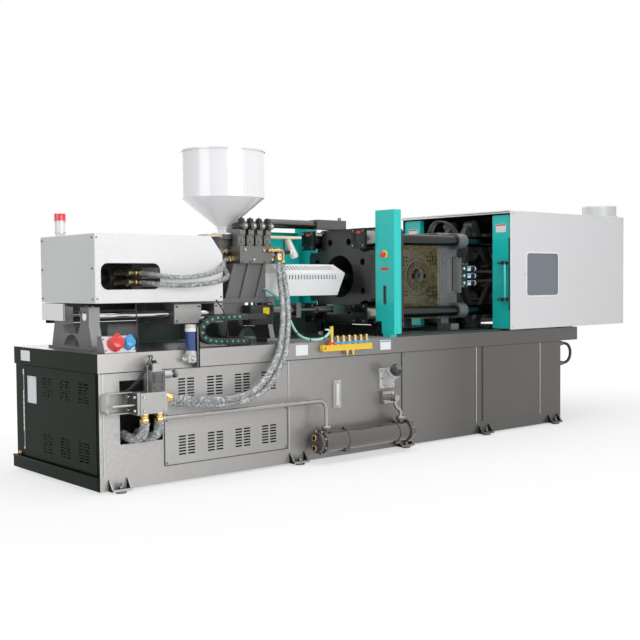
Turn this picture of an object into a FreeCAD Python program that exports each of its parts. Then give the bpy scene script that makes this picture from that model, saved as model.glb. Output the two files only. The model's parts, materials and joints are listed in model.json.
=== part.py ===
import FreeCAD, Part
import math
import os

import Sketcher
from FreeCAD import Placement, Rotation, Vector

# Hydraulic toggle-clamp injection moulding machine, seen from its non-operator side.
# Millimetres. X runs from the injection end to the clamp end, Y points to the operator
# side with the clamp axis at Y = 0, Z is up from the floor.

os.makedirs("parts", exist_ok=True)
doc = FreeCAD.newDocument("injection_moulding_machine")

# ---------------------------------------------------------------- driving dimensions

SIZES = {
    # base
    "base_length": 4590, "base_width": 1136, "base_height": 810, "beam_depth": 110,
    "body_length": 4363, "body_inset": 8, "wall": 8, "deck": 20, "pad_height": 12,
    "pad_radius": 35, "guard_overhang": 642, "axis_height": 1255,
    "window_from": 142, "window_length": 288, "window_bottom": 276, "window_height": 372,
    "well_from": 2700, "well_length": 1290, "well_width": 470,
    "tank_from": 1393, "tank_to": 2457,
    "lug_length": 130, "lug_depth": 55, "lug_plate": 14, "gusset": 10, "gusset_height": 66,
    "shield_height": 150, "shield_offset": 330, "rail_offset": 508, "rail_height": 14,
    "part_gap": 0.3,
    # screwed covers and cabinet door
    "cover_sheet": 3, "cover_bottom": 112, "cover_height": 584, "cover_lap": 20,
    "louvre_from": 437, "louvre_length": 949, "slot_length": 50, "slot_height": 9,
    "slot_pitch": 18, "slot_rows": 7, "slot_gap": 15, "slot_group": 211, "slot_inset": 104,
    "slot_low": 57, "slot_lift": 350,
    "clamp_cover_from": 2459, "clamp_cover_length": 793,
    "end_cover_from": 3356, "end_cover_length": 707,
    "door_margin": 33, "door_width": 959, "door_height": 587, "door_bottom": 107,
    "door_sheet": 6, "hinge_radius": 7, "cabinet_slot_length": 55, "cabinet_slot_group": 239,
    "cabinet_slot_inset": 86,
    # clamp
    "tie_radius": 42.5, "tie_spacing_y": 580, "tie_spacing_z": 556, "tie_clearance": 0.1,
    "platen_size": 730, "platen_corner": 45, "platen_front": 2675, "platen_slab": 210,
    "platen_boss": 115, "dish_radius": 325, "nozzle_hole": 160, "throat_radius": 80,
    "locating_radius": 62.5, "locating_depth": 25, "ring_holes": 8, "ring_hole_radius": 26,
    "ring_hole_circle": 280, "foot_width": 148,
    "nut_radius": 59, "nut_length": 165, "retainer_size": 148, "retainer_thickness": 18,
    "open_gap": 520, "clamp_stroke": 360, "moving_thickness": 230, "moving_half_width": 228,
    "moving_height": 690, "ear_length": 96, "ear_radius": 62, "shoe_width": 110,
    "shoe_clearance": 0.3, "strip_height": 14, "strip_width": 80, "hub_radius": 118,
    "hub_depth": 10, "bolt_hole_radius": 8, "bolt_hole_depth": 32, "bolt_pitch": 140,
    "bolt_column": 175,
    "tail_thickness": 190, "tail_nut_radius": 80, "tail_nut_length": 60,
    # toggle
    "toggle_pivot": 90, "toggle_lug": 90, "toggle_shut_deg": 6, "link_radius": 42,
    "pin_radius": 25, "pin_clearance": 0.05, "small_pin_radius": 20, "small_link_share": 0.62,
    "small_link_length": 260, "crosshead_drop": 30, "small_eye": 34,
    "layer_gap": 1, "small_layer_in": 30, "small_layer_out": 70, "front_layer_out": 118,
    "rear_layer_out": 160, "lug_layer_out": 200,
    "piston_rod_radius": 30, "clamp_bore": 65, "cylinder_wall": 26, "cylinder_length": 470,
    "piston_rest": 290, "piston_length": 40, "chain_play": 9,
    "ejector_rod_radius": 19,
    # clamp guard and doors
    "guard_from": 3642, "guard_half_width": 604, "guard_bottom": 820, "guard_top": 1772,
    "guard_sheet": 4, "guard_lip": 62, "pane_from": 211, "pane_width": 413, "pane_bottom": 270,
    "pane_height": 346, "pane_corner": 22, "pane_sheet": 4, "pane_lap": 14,
    "cowl_radius": 150, "cowl_height": 100, "cowl_sheet": 3,
    "post_from": 2340, "post_thickness": 66, "post_width": 193, "post_bottom": 836,
    "post_top": 1731, "post_sheet": 3, "post_notch_height": 88, "post_notch_width": 62,
    "post_slot_length": 128, "post_slot_width": 22, "post_slot_bottom": 1053,
    "estop_height": 1410, "estop_collar": 31, "estop_button": 20,
    "door_gap": 16, "door_leaf": 28, "door_channel": 46, "door_channel_width": 188,
    "door_low": 824.5, "door_high": 1742, "leaf_length": 1215,
    "notch_from": 152, "notch_length": 580, "notch_depth": 24, "grip_radius": 11,
    "grip_low": 1063, "grip_high": 1357, "grip_standoff": 42,
    # injection unit
    "rod_radius": 26, "rod_spacing": 350, "rod_height": 1016, "rod_from": 126,
    "rod_length": 1390, "rod_clearance": 0.05, "stand_length": 74, "stand_block": 112,
    "front_stand": 40, "bearing_height": 132,
    "rear_bearing_from": 725, "rear_bearing_length": 212, "front_bearing_from": 1034,
    "front_bearing_length": 78, "saddle_height": 30, "feed_from": 1166, "feed_length": 350,
    "feed_width": 326, "feed_top": 1345, "rib": 16,
    "barrel_radius": 56, "barrel_bore": 25, "screw_clearance": 0.08, "barrel_end": 2290,
    "heater_radius": 74, "heater_length": 120, "heater_count": 5, "heater_gap": 36,
    "nozzle_radius": 22, "nozzle_length": 266, "nozzle_tip": 7,
    "barrel_guard_from": 1516, "barrel_guard_tip": 2262, "barrel_guard_half": 163,
    "barrel_guard_fold": 1279, "barrel_guard_top": 1344, "barrel_guard_bottom": 1117,
    "barrel_guard_sheet": 3, "guard_slots": 18, "guard_slot_pitch": 27, "guard_slot_width": 9,
    "guard_slot_height": 30,
    "hopper_at": 1282, "hopper_radius": 288, "hopper_top": 2120, "hopper_shoulder": 1795,
    "hopper_outlet": 1593, "outlet_radius": 38, "hopper_sheet": 3, "neck_length": 46,
    "flange_radius": 85, "gate_from": 1110, "gate_length": 820, "gate_half": 60,
    "gate_thickness": 18, "gate_hole": 39,
    "manifold_from": 1268, "manifold_length": 296, "manifold_bottom": 1346,
    "manifold_height": 116, "manifold_front": 212, "manifold_depth": 150,
    "cover_from": 104, "cover_end": 1019, "cover_half": 361, "cover_low": 1097,
    "cover_high": 1515, "cover_chamfer": 90, "injection_sheet": 3, "port_from": 36,
    "port_length": 410, "port_low": 1177, "port_high": 1339, "port_corner": 45,
    "lamp_x": 186, "lamp_y": 248, "lamp_radius": 34, "lamp_height": 150,
    "thrust_from": 496, "thrust_thickness": 70, "thrust_half": 112, "thrust_height": 260,
    "motor_radius": 122, "motor_length": 150, "port_radius": 24,
    "injection_rod_radius": 22, "injection_cylinder": 52,
    "terminal_from": 1259, "terminal_length": 200,
    "terminal_front": 330, "terminal_depth": 86, "terminal_low": 930, "terminal_height": 132,
    "pull_radius": 13, "pull_cylinder": 34, "pull_y": 200, "pull_low": 1016, "pull_high": 1652,
    "pull_tube_from": 1528, "pull_tube_to": 1762, "upper_tube_from": 1805, "clevis_from": 2082,
    # hydraulics and services on the front of the base
    "cooler_from": 1551, "cooler_length": 880, "cooler_radius": 70, "cooler_y": 660,
    "cooler_z": 143, "cooler_flange": 83, "cooler_cap": 44, "nozzle_station": 90,
    "pipe_radius": 14, "pipe_run_z": 420, "pipe_bend": 60, "pipe_end": 381,
    "return_from": 2230, "return_width": 116, "return_low": 342, "return_height": 86,
    "filler_from": 2223, "filler_size": 144, "filler_low": 450, "filler_tilt_deg": 40,
    "neck_radius": 36, "cap_radius": 42, "cap_height": 52, "neck_reach": 118,
    "gauge_from": 1791, "gauge_width": 54, "gauge_low": 347, "gauge_height": 190,
    "block_from": 201, "block_length": 179, "block_low": 459, "block_height": 123,
    "block_front": 700, "block_depth": 120, "bracket_length": 168, "bracket_depth": 72,
    "water_from": 1655, "water_length": 457, "water_radius": 21, "water_z": 765,
    "water_outlets": 7, "water_pitch": 54, "water_stem": 9, "water_stem_top": 845,
    "socket_from": 50, "socket_length": 206, "socket_height": 100, "socket_slope": 42,
    "socket_depth": 95,
    "pump_station": 605, "cartridge_radius": 31, "cartridge_low": 800, "cartridge_top": 962,
    "panel_from": 1976, "panel_length": 430, "panel_low": 826, "panel_high": 1610,
    "console_depth": 135, "console_width": 380, "console_height": 420,
    "electric_radius": 135, "electric_length": 390, "electric_from": 780, "pump_radius": 75,
    "pump_length": 190,
    # flexible lines
    "hose_radius": 21, "motor_hose_radius": 17, "water_hose_radius": 9, "chain_height": 42,
    "chain_width": 60, "chain_pitch": 43, "platen_hose_radius": 7, "cable_radius": 12,
    "wire_radius": 4,
}

sheet = doc.addObject("Spreadsheet::Sheet", "dims")
for row, (alias, value) in enumerate(SIZES.items(), start=1):
    sheet.set(f"A{row}", alias.replace("_", " "))
    sheet.set(f"B{row}", str(value))
    sheet.setAlias(f"B{row}", alias)
doc.recompute()


class Size(float):
    """A number that keeps the spreadsheet expression it was worked out from."""

    def __new__(cls, value, text):
        made = super().__new__(cls, value)
        made.text = text
        return made

    def __add__(self, other):
        return joined(self, "+", other, float(self) + float(other))

    def __radd__(self, other):
        return joined(other, "+", self, float(other) + float(self))

    def __sub__(self, other):
        return joined(self, "-", other, float(self) - float(other))

    def __rsub__(self, other):
        return joined(other, "-", self, float(other) - float(self))

    def __mul__(self, other):
        return joined(self, "*", other, float(self) * float(other))

    def __rmul__(self, other):
        return joined(other, "*", self, float(other) * float(self))

    def __truediv__(self, other):
        return joined(self, "/", other, float(self) / float(other))

    def __neg__(self):
        return joined(0, "-", self, -float(self))


def written(value):
    if isinstance(value, Size):
        return value.text
    return f"({float(value):.10g})" if value < 0 else f"{float(value):.10g}"


def joined(first, sign, second, result):
    return Size(result, f"({written(first)} {sign} {written(second)})")


class Sizes:
    """The spreadsheet's cells as attributes."""

    def __getattr__(self, alias):
        return Size(float(sheet.get(alias)), f"dims.{alias}")


d = Sizes()
subparts = {}

# ---------------------------------------------------------------- building blocks

TURNS = {
    "X": Rotation(Vector(0, 1, 0), 90),
    "Y": Rotation(Vector(1, 0, 0), -90),
    "Z": Rotation(),
}
FRONT_WALL = Rotation(Vector(1, 0, 0), 90)
END_WALL = Rotation(Vector(1, 1, 1), 120)


def bind(thing, prop, value):
    """Give a property its value, and its expression where it has one."""
    if isinstance(value, Size):
        thing.setExpression(prop, value.text)
    elif "." not in prop:
        setattr(thing, prop, float(value))


def place(thing, x, y, z, turn=Rotation()):
    thing.Placement = Placement(Vector(x, y, z), turn)
    for axis, value in zip("xyz", (x, y, z)):
        bind(thing, f"Placement.Base.{axis}", value)
    return thing


def block(name, x, y, z):
    """A box between low and high values on each axis."""
    box = doc.addObject("Part::Box", name)
    for prop, (low, high) in zip(("Length", "Width", "Height"), (x, y, z)):
        setattr(box, prop, float(high - low))
        bind(box, prop, high - low)
    return place(box, x[0], y[0], z[0])


def start_of(axis, span, across):
    """Base point of a round piece along one axis; across holds its other coordinates."""
    coords = list(across)
    coords.insert("XYZ".index(axis), span[0])
    return coords


def rod(name, axis, span, across, radius):
    bar = doc.addObject("Part::Cylinder", name)
    bar.Radius, bar.Height = float(radius), float(span[1] - span[0])
    bind(bar, "Radius", radius)
    bind(bar, "Height", span[1] - span[0])
    return place(bar, *start_of(axis, span, across), TURNS[axis])


def cone(name, axis, span, across, first_radius, second_radius):
    taper = doc.addObject("Part::Cone", name)
    for prop, value in (("Radius1", first_radius), ("Radius2", second_radius),
                        ("Height", span[1] - span[0])):
        setattr(taper, prop, float(value))
        bind(taper, prop, value)
    return place(taper, *start_of(axis, span, across), TURNS[axis])


def fuse(name, *things):
    whole = doc.addObject("Part::MultiFuse", name)
    whole.Shapes = list(things)
    whole.Refine = True
    return whole


def group(name, *things):
    together = doc.addObject("Part::Compound", name)
    together.Links = list(things)
    return together


def cut(name, base, *tools):
    result = doc.addObject("Part::Cut", name)
    result.Base = base
    result.Tool = tools[0] if len(tools) == 1 else fuse(name + "_tools", *tools)
    result.Refine = True
    return result


def feature(name, shape):
    made = doc.addObject("Part::Feature", name)
    made.Shape = shape
    return made


def subpart(label, thing):
    thing.Label = label
    subparts[label] = thing
    return thing


def mirrored_pair(value):
    return (-value, value)


# Sketch helpers: a body is drawn from its own origin, towards positive values.

def new_body(name, x, y, z, turn=Rotation()):
    body = doc.addObject("PartDesign::Body", name)
    place(body, x, y, z, turn)
    return body


def new_sketch(body, name, role="XY_Plane"):
    sketch = body.newObject("Sketcher::SketchObject", name)
    plane = next(item for item in body.Origin.OriginFeatures if item.Role == role)
    sketch.AttachmentSupport = [(plane, "")]
    sketch.MapMode = "FlatFace"
    return sketch


def dimension(sketch, kind, *parts):
    index = sketch.addConstraint(Sketcher.Constraint(kind, *parts[:-1], float(parts[-1])))
    if isinstance(parts[-1], Size):
        sketch.setExpression(f"Constraints[{index}]", parts[-1].text)


def pin_point(sketch, item, point, x, y):
    if x == 0:
        sketch.addConstraint(Sketcher.Constraint("PointOnObject", item, point, -2))
    else:
        dimension(sketch, "DistanceX", -1, 1, item, point, x)
    if y == 0:
        sketch.addConstraint(Sketcher.Constraint("PointOnObject", item, point, -1))
    else:
        dimension(sketch, "DistanceY", -1, 1, item, point, y)


def draw_rectangle(sketch, x, y, width, height):
    corners = [Vector(x, y), Vector(x + width, y), Vector(x + width, y + height),
               Vector(x, y + height)]
    first = sketch.GeometryCount
    for side in range(4):
        sketch.addGeometry(Part.LineSegment(corners[side], corners[(side + 1) % 4]))
    for side in range(4):
        sketch.addConstraint(
            Sketcher.Constraint("Coincident", first + side, 2, first + (side + 1) % 4, 1))
        sketch.addConstraint(
            Sketcher.Constraint("Vertical" if side % 2 else "Horizontal", first + side))
    dimension(sketch, "DistanceX", first, 1, first, 2, width)
    dimension(sketch, "DistanceY", first + 1, 1, first + 1, 2, height)
    pin_point(sketch, first, 1, x, y)


def draw_rounded(sketch, x, y, width, height, radius):
    """A rectangle with round corners: four lines and four tangent quarter arcs."""
    right, top = x + width, y + height
    ends = [(x + radius, y, right - radius, y), (right, y + radius, right, top - radius),
            (right - radius, top, x + radius, top), (x, top - radius, x, y + radius)]
    centres = [(right - radius, y + radius, -90), (right - radius, top - radius, 0),
               (x + radius, top - radius, 90), (x + radius, y + radius, 180)]
    first = sketch.GeometryCount
    for (x0, y0, x1, y1), (cx, cy, turn) in zip(ends, centres):
        sketch.addGeometry(Part.LineSegment(Vector(x0, y0), Vector(x1, y1)))
        circle = Part.Circle(Vector(cx, cy), Vector(0, 0, 1), radius)
        sketch.addGeometry(Part.ArcOfCircle(circle, math.radians(turn), math.radians(turn + 90)))
    for side in range(4):
        line, arc, following = first + 2 * side, first + 2 * side + 1, first + (2 * side + 2) % 8
        sketch.addConstraint(Sketcher.Constraint("Tangent", line, 2, arc, 1))
        sketch.addConstraint(Sketcher.Constraint("Tangent", arc, 2, following, 1))
        sketch.addConstraint(Sketcher.Constraint("Vertical" if side % 2 else "Horizontal", line))
        if side:
            sketch.addConstraint(Sketcher.Constraint("Equal", first + 1, arc))
    dimension(sketch, "Radius", first + 1, radius)
    dimension(sketch, "DistanceX", first + 6, 1, first + 2, 1, width)
    dimension(sketch, "DistanceY", first, 1, first + 4, 1, height)
    dimension(sketch, "DistanceX", -1, 1, first + 2, 1, right)
    dimension(sketch, "DistanceY", -1, 1, first + 4, 1, top)


def draw_circle(sketch, x, y, radius):
    item = sketch.addGeometry(Part.Circle(Vector(x, y), Vector(0, 0, 1), radius))
    dimension(sketch, "Radius", item, radius)
    pin_point(sketch, item, 3, x, y)


def draw_outline(sketch, points):
    """A closed polygon whose every corner is held by its two distances."""
    first = sketch.GeometryCount
    count = len(points)
    for index, (x, y) in enumerate(points):
        following = points[(index + 1) % count]
        sketch.addGeometry(Part.LineSegment(Vector(x, y), Vector(*following)))
    for index, (x, y) in enumerate(points):
        sketch.addConstraint(
            Sketcher.Constraint("Coincident", first + index, 1, first + (index - 1) % count, 2))
        pin_point(sketch, first + index, 1, x, y)


def pad(body, sketch, length):
    solid = body.newObject("PartDesign::Pad", "Pad")
    solid.Profile = sketch
    solid.Length = float(length)
    bind(solid, "Length", length)
    return solid


def pocket_through(body, sketch):
    hole = body.newObject("PartDesign::Pocket", "Pocket")
    hole.Profile = sketch
    hole.Type = "ThroughAll"
    hole.Midplane = True
    return hole


def slot_field(body, pocket, sketch, spans):
    """Repeat a pocket in rows and columns; spans holds (sketch axis, count, whole length)."""
    steps = []
    for axis, count, length in spans:
        step = doc.addObject("PartDesign::LinearPattern", "Step")
        step.Direction = (sketch, [axis])
        step.Occurrences = int(count)
        step.Length = float(length)
        bind(step, "Length", length)
        steps.append(step)
    field = body.newObject("PartDesign::MultiTransform", "SlotField")
    field.Originals = [pocket]
    field.Transformations = steps
    body.Tip = field
    return field


def prism(points, start, direction):
    """A polygon in space extruded along a vector; for castings and links."""
    corners = [Vector(*point) + start for point in points]
    return Part.Face(Part.makePolygon(corners + corners[:1])).extrude(direction)


def round_bar(axis, span, across, radius):
    base = Vector(*start_of(axis, span, across))
    direction = {"X": Vector(1, 0, 0), "Y": Vector(0, 1, 0), "Z": Vector(0, 0, 1)}[axis]
    return Part.makeCylinder(radius, span[1] - span[0], base, direction)


def cuboid(x, y, z):
    return Part.makeBox(x[1] - x[0], y[1] - y[0], z[1] - z[0], Vector(x[0], y[0], z[0]))


def fused(shapes):
    whole = shapes[0].multiFuse(shapes[1:])
    refined = whole.removeSplitter()
    return refined if refined.isValid() else whole


def bent_tube(points, radius, share=0.45):
    """A tube along straight runs joined by tangent arcs; prints its tightest radius."""
    corners = [Vector(*point) for point in points]
    edges, start, radii = [], corners[0], []
    for before, corner, after in zip(corners, corners[1:], corners[2:]):
        back, ahead = (before - corner), (after - corner)
        reach = share * min(back.Length, ahead.Length)
        half_turn = (math.pi - back.getAngle(ahead)) / 2
        radii.append(reach / math.tan(half_turn))
        enter = corner + back.normalize() * reach
        leave = corner + ahead.normalize() * reach
        centre_way = (back + ahead).normalize()
        centre = corner + centre_way * (radii[-1] / math.cos(half_turn))
        middle = centre - centre_way * radii[-1]
        edges.append(Part.LineSegment(start, enter).toShape())
        edges.append(Part.Arc(enter, middle, leave).toShape())
        start = leave
    edges.append(Part.LineSegment(start, corners[-1]).toShape())
    path = Part.Wire(edges)
    first = corners[1] - corners[0]
    ring = Part.Wire(Part.makeCircle(radius, corners[0], first))
    tube = path.makePipeShell([ring], True, False)
    expected = math.pi * radius ** 2 * path.Length
    print(f"  tube of radius {float(radius):.0f}: length {path.Length:.0f}, least bend "
          f"{min(radii):.0f}, volume share {tube.Volume / expected:.4f}")
    return tube


def moved(points, x, y, z):
    return [(px + x, py + y, pz + z) for px, py, pz in points]


def line_solids(lines):
    """One compound of flexible lines, to cut their seats from what holds their ends."""
    return Part.makeCompound([bent_tube(points, radius) for points, radius in lines])


# ---------------------------------------------------------------- shared places

left = -(d.base_length + d.guard_overhang) / 2
half_width = d.base_width / 2
front = -half_width
beam_bottom = d.base_height - d.beam_depth
axis_z = d.axis_height
body_left = left + d.body_inset
body_right = left + d.body_length
body_front = front + d.body_inset
body_back = half_width - d.body_inset
base_right = left + d.base_length
guard_left = left + d.guard_from
guard_right = base_right + d.guard_overhang

mould_face = left + d.platen_front
slab_back = mould_face - d.platen_slab
dish_face = slab_back - d.platen_boss
retainer_face = slab_back - d.nut_length
tie_y = d.tie_spacing_y / 2
tie_z = d.tie_spacing_z / 2
tie_places = [(way_y * tie_y, axis_z + way_z * tie_z) for way_y in (-1, 1) for way_z in (-1, 1)]
platen_low = axis_z - d.platen_size / 2

moving_face = mould_face + d.open_gap
moving_back = moving_face + d.moving_thickness
front_pivot = moving_back + d.toggle_lug

# The two toggle arms of one side are equally long, so the knee lies midway between the
# pivots; their length follows from the stroke and the nearly straight shut angle.
shut_angle = math.radians(d.toggle_shut_deg)
pivot_gap_open = 420.0
arm = (pivot_gap_open + float(d.clamp_stroke)) / (2 * math.cos(shut_angle))
open_angle = math.acos(pivot_gap_open / (2 * arm))
rear_pivot = front_pivot + pivot_gap_open
tail_face = rear_pivot + d.toggle_lug
tail_back = tail_face + d.tail_thickness

# ---------------------------------------------------------------- base

def wall_opening(name, station, length, low, height, lap, side):
    """An opening through the front (side -1) or back (side 1) wall of the base."""
    depth = (2 * d.wall + d.body_inset)
    edge = front if side < 0 else half_width - depth
    return block(name, (left + station + lap, left + station + length - lap),
                 (edge, edge + depth), (low + lap, low + height - lap))


def anchor_lug(name, station, side):
    """Floor plate with two gussets, welded to the foot of a side wall."""
    low, high = left + station, left + station + d.lug_length
    wall_y = body_front if side < 0 else body_back
    out_y = wall_y + side * d.lug_depth
    y = (out_y, wall_y) if side < 0 else (wall_y, out_y)
    plate = block(name + "_plate", (low, high), y,
                  (d.pad_height, d.pad_height + d.lug_plate))
    pieces = [plate, rod(name + "_pad", "Z", (0, d.pad_height),
                         (left + station + d.lug_length / 2, (wall_y + out_y) / 2),
                         d.pad_radius * 0.7)]
    for offset in (0, d.lug_length - d.gusset):
        wedge = doc.addObject("Part::Wedge", name + "_gusset")
        for prop, value in (("Xmin", 0), ("Xmax", d.gusset), ("X2min", 0), ("X2max", d.gusset),
                            ("Ymin", 0), ("Ymax", d.gusset_height), ("Zmin", 0),
                            ("Zmax", d.lug_depth), ("Z2min", 0), ("Z2max", 8)):
            setattr(wedge, prop, float(value))
            bind(wedge, prop, value)
        turn = Rotation(Vector(0, 1, 1), 180) if side > 0 else Rotation(Vector(1, 0, 0), 90)
        base_x = low + offset + (d.gusset if side > 0 else 0)
        place(wedge, base_x, wall_y, d.pad_height, turn)
        pieces.append(wedge)
    return pieces


def make_base_frame():
    inner_front, inner_back = body_front + d.wall, body_back - d.wall
    under_deck = d.base_height - d.deck
    floor_z = d.pad_height + d.wall
    body = block("lower_body", (body_left, body_right), (body_front, body_back),
                 (d.pad_height, beam_bottom + 1))
    beam = block("top_beam", (left, base_right), (front, half_width),
                 (beam_bottom, d.base_height))
    bays = [
        block("pump_bay", (body_left + d.wall, left + d.tank_from - d.wall),
              (inner_front, inner_back), (floor_z, under_deck)),
        block("oil_tank", (left + d.tank_from, left + d.tank_to - d.wall),
              (inner_front, inner_back), (floor_z, under_deck)),
        block("clamp_bay", (left + d.tank_to, body_right - d.wall),
              (inner_front, inner_back), (floor_z, under_deck)),
        block("beam_end", (body_right, base_right - d.wall), (inner_front, inner_back),
              (beam_bottom - 1, under_deck)),
        block("drop_well", (left + d.well_from, left + d.well_from + d.well_length),
              mirrored_pair(d.well_width / 2), (under_deck - 1, d.base_height + 1)),
        block("cabinet_opening", (left, body_left + 2 * d.wall),
              (front + d.door_margin + d.cover_lap,
               front + d.door_margin + d.door_width - d.cover_lap),
              (d.door_bottom + d.cover_lap, d.door_bottom + d.door_height - d.cover_lap)),
        wall_opening("valve_window", d.window_from, d.window_length, d.window_bottom,
                     d.window_height, 0, -1),
        block("pump_notch", (left + d.pump_station + 45, left + d.pump_station + 59),
              (front, front + 2 * d.wall), (beam_bottom, d.base_height)),
    ]
    for side in (-1, 1):
        bays += [
            wall_opening("louvre_opening", d.louvre_from, d.louvre_length, d.cover_bottom,
                         d.cover_height, d.cover_lap, side),
            wall_opening("clamp_opening", d.clamp_cover_from, d.clamp_cover_length,
                         d.cover_bottom, d.cover_height, d.cover_lap, side),
            wall_opening("end_opening", d.end_cover_from, d.end_cover_length,
                         d.cover_bottom, d.cover_height, d.cover_lap, side),
        ]
    extras = []
    for station in (60, 1400, 2400, 3300, 4190):
        for side in (-1, 1):
            extras += anchor_lug("lug", station, side)
    for station in (260, 2050, 3900):
        for y in (-d.well_width / 2, d.well_width / 2):
            extras.append(rod("foot_pad", "Z", (0, d.pad_height + 1), (left + station, y),
                              d.pad_radius))
    for side in (-1, 1):
        centre = side * (d.moving_half_width + d.shoe_width / 2)
        extras.append(block("wear_strip",
                            (left + d.well_from, left + d.well_from + d.well_length),
                            (centre - d.strip_width / 2, centre + d.strip_width / 2),
                            (d.base_height - 1, d.base_height + d.strip_height)))
    extras.append(block("splash_shield", (left + 200, left + 1120),
                        (d.shield_offset, d.shield_offset + d.wall),
                        (d.base_height - 1, d.base_height + d.shield_height)))
    foot_x = CHAIN_PATH[-1][0] + d.chain_play
    extras.append(block("chain_foot", (foot_x, foot_x + 50),
                        (CHAIN_Y, CHAIN_Y + d.chain_width),
                        (d.base_height - 1, CHAIN_PATH[-1][1] + 16)))
    hinge_y = front + d.door_margin + d.door_width + d.hinge_radius + d.part_gap
    for low in (d.door_bottom + 60, d.door_bottom + d.door_height - 160):
        extras.append(rod("hinge_barrel", "Z", (low, low + 100),
                          (body_left - d.hinge_radius + 1, hinge_y), d.hinge_radius))
    for side in (-1, 1):
        low, high = side * d.rail_offset - 8, side * d.rail_offset + 8
        extras.append(block("door_rail", (guard_left - d.leaf_length, base_right - 20),
                            (low, high), (d.base_height - 1, d.base_height + d.rail_height)))
    for x, y, z in (END_CABLE[0], END_CABLE[-1]):
        extras.append(rod("cable_gland", "X", (body_right - 1, x), (y, z), 19))
    hull = fuse("base_hull", body, beam, *extras)
    bores = [
        rod("filler_bore", "Y", (front, body_front + 2 * d.wall),
            (left + d.filler_from + d.filler_size / 2, d.filler_low + d.filler_size / 2),
            d.neck_radius - 4),
        rod("return_bore", "Y", (front, body_front + 2 * d.wall),
            (left + d.return_from + d.return_width / 2, d.return_low + d.return_height / 2),
            d.pipe_radius),
    ]
    subpart("base_frame", cut("base_frame", hull, *bays, *bores))


def make_louvred_panel():
    body = new_body("louvred_panel", left + d.louvre_from, body_front, d.cover_bottom,
                    FRONT_WALL)
    plate = new_sketch(body, "Plate")
    draw_rectangle(plate, 0, 0, d.louvre_length, d.cover_height)
    pad(body, plate, d.cover_sheet)
    slot = new_sketch(body, "Slots")
    for column in (0, d.slot_length + d.slot_gap):
        draw_rectangle(slot, d.slot_inset + column, d.slot_low, d.slot_length, d.slot_height)
    hole = pocket_through(body, slot)
    slot_field(body, hole, slot, [
        ("V_Axis", d.slot_rows, d.slot_pitch * (d.slot_rows - 1)),
        ("H_Axis", 4, d.slot_group * 3),
        ("V_Axis", 2, d.slot_lift),
    ])
    subpart("louvred_panel", body)


def make_side_covers():
    """Plain screwed covers of both long sides."""
    plates = []
    spans = [(d.clamp_cover_from, d.clamp_cover_length), (d.end_cover_from, d.end_cover_length)]
    for station, length in spans:
        plates.append(block("front_cover", (left + station, left + station + length),
                            (body_front - d.cover_sheet, body_front),
                            (d.cover_bottom, d.cover_bottom + d.cover_height)))
    for station, length in spans + [(d.louvre_from, d.louvre_length)]:
        plates.append(block("back_cover", (left + station, left + station + length),
                            (body_back, body_back + d.cover_sheet),
                            (d.cover_bottom, d.cover_bottom + d.cover_height)))
    subpart("side_covers", group("side_covers", *plates))


def make_cabinet_door():
    """Hinged door of the end wall, with three pairs of louvre columns in two rows."""
    body = new_body("cabinet_door", body_left - d.door_sheet - d.part_gap,
                    front + d.door_margin, d.door_bottom, END_WALL)
    plate = new_sketch(body, "Plate")
    draw_rectangle(plate, 0, 0, d.door_width, d.door_height)
    pad(body, plate, d.door_sheet)
    slot = new_sketch(body, "Slots")
    for column in (0, d.cabinet_slot_length + d.slot_gap):
        draw_rectangle(slot, d.cabinet_slot_inset + column, d.slot_low, d.cabinet_slot_length,
                       d.slot_height)
    hole = pocket_through(body, slot)
    slot_field(body, hole, slot, [
        ("V_Axis", d.slot_rows, d.slot_pitch * (d.slot_rows - 1)),
        ("H_Axis", 3, d.cabinet_slot_group * 2),
        ("V_Axis", 2, d.slot_lift),
    ])
    subpart("cabinet_door", body)


# ---------------------------------------------------------------- clamp

def tie_bores(name, span):
    return [rod(name, "X", span, place_yz, d.tie_radius + d.tie_clearance)
            for place_yz in tie_places]


def mould_bolt_holes(span):
    """Blind holes for mould clamps: two columns of four on a platen face."""
    return [rod("mould_bolt_hole", "X", span,
                (column * d.bolt_column, axis_z + row * d.bolt_pitch), d.bolt_hole_radius)
            for column in (-1, 1) for row in (-2, -1, 1, 2)]


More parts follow.
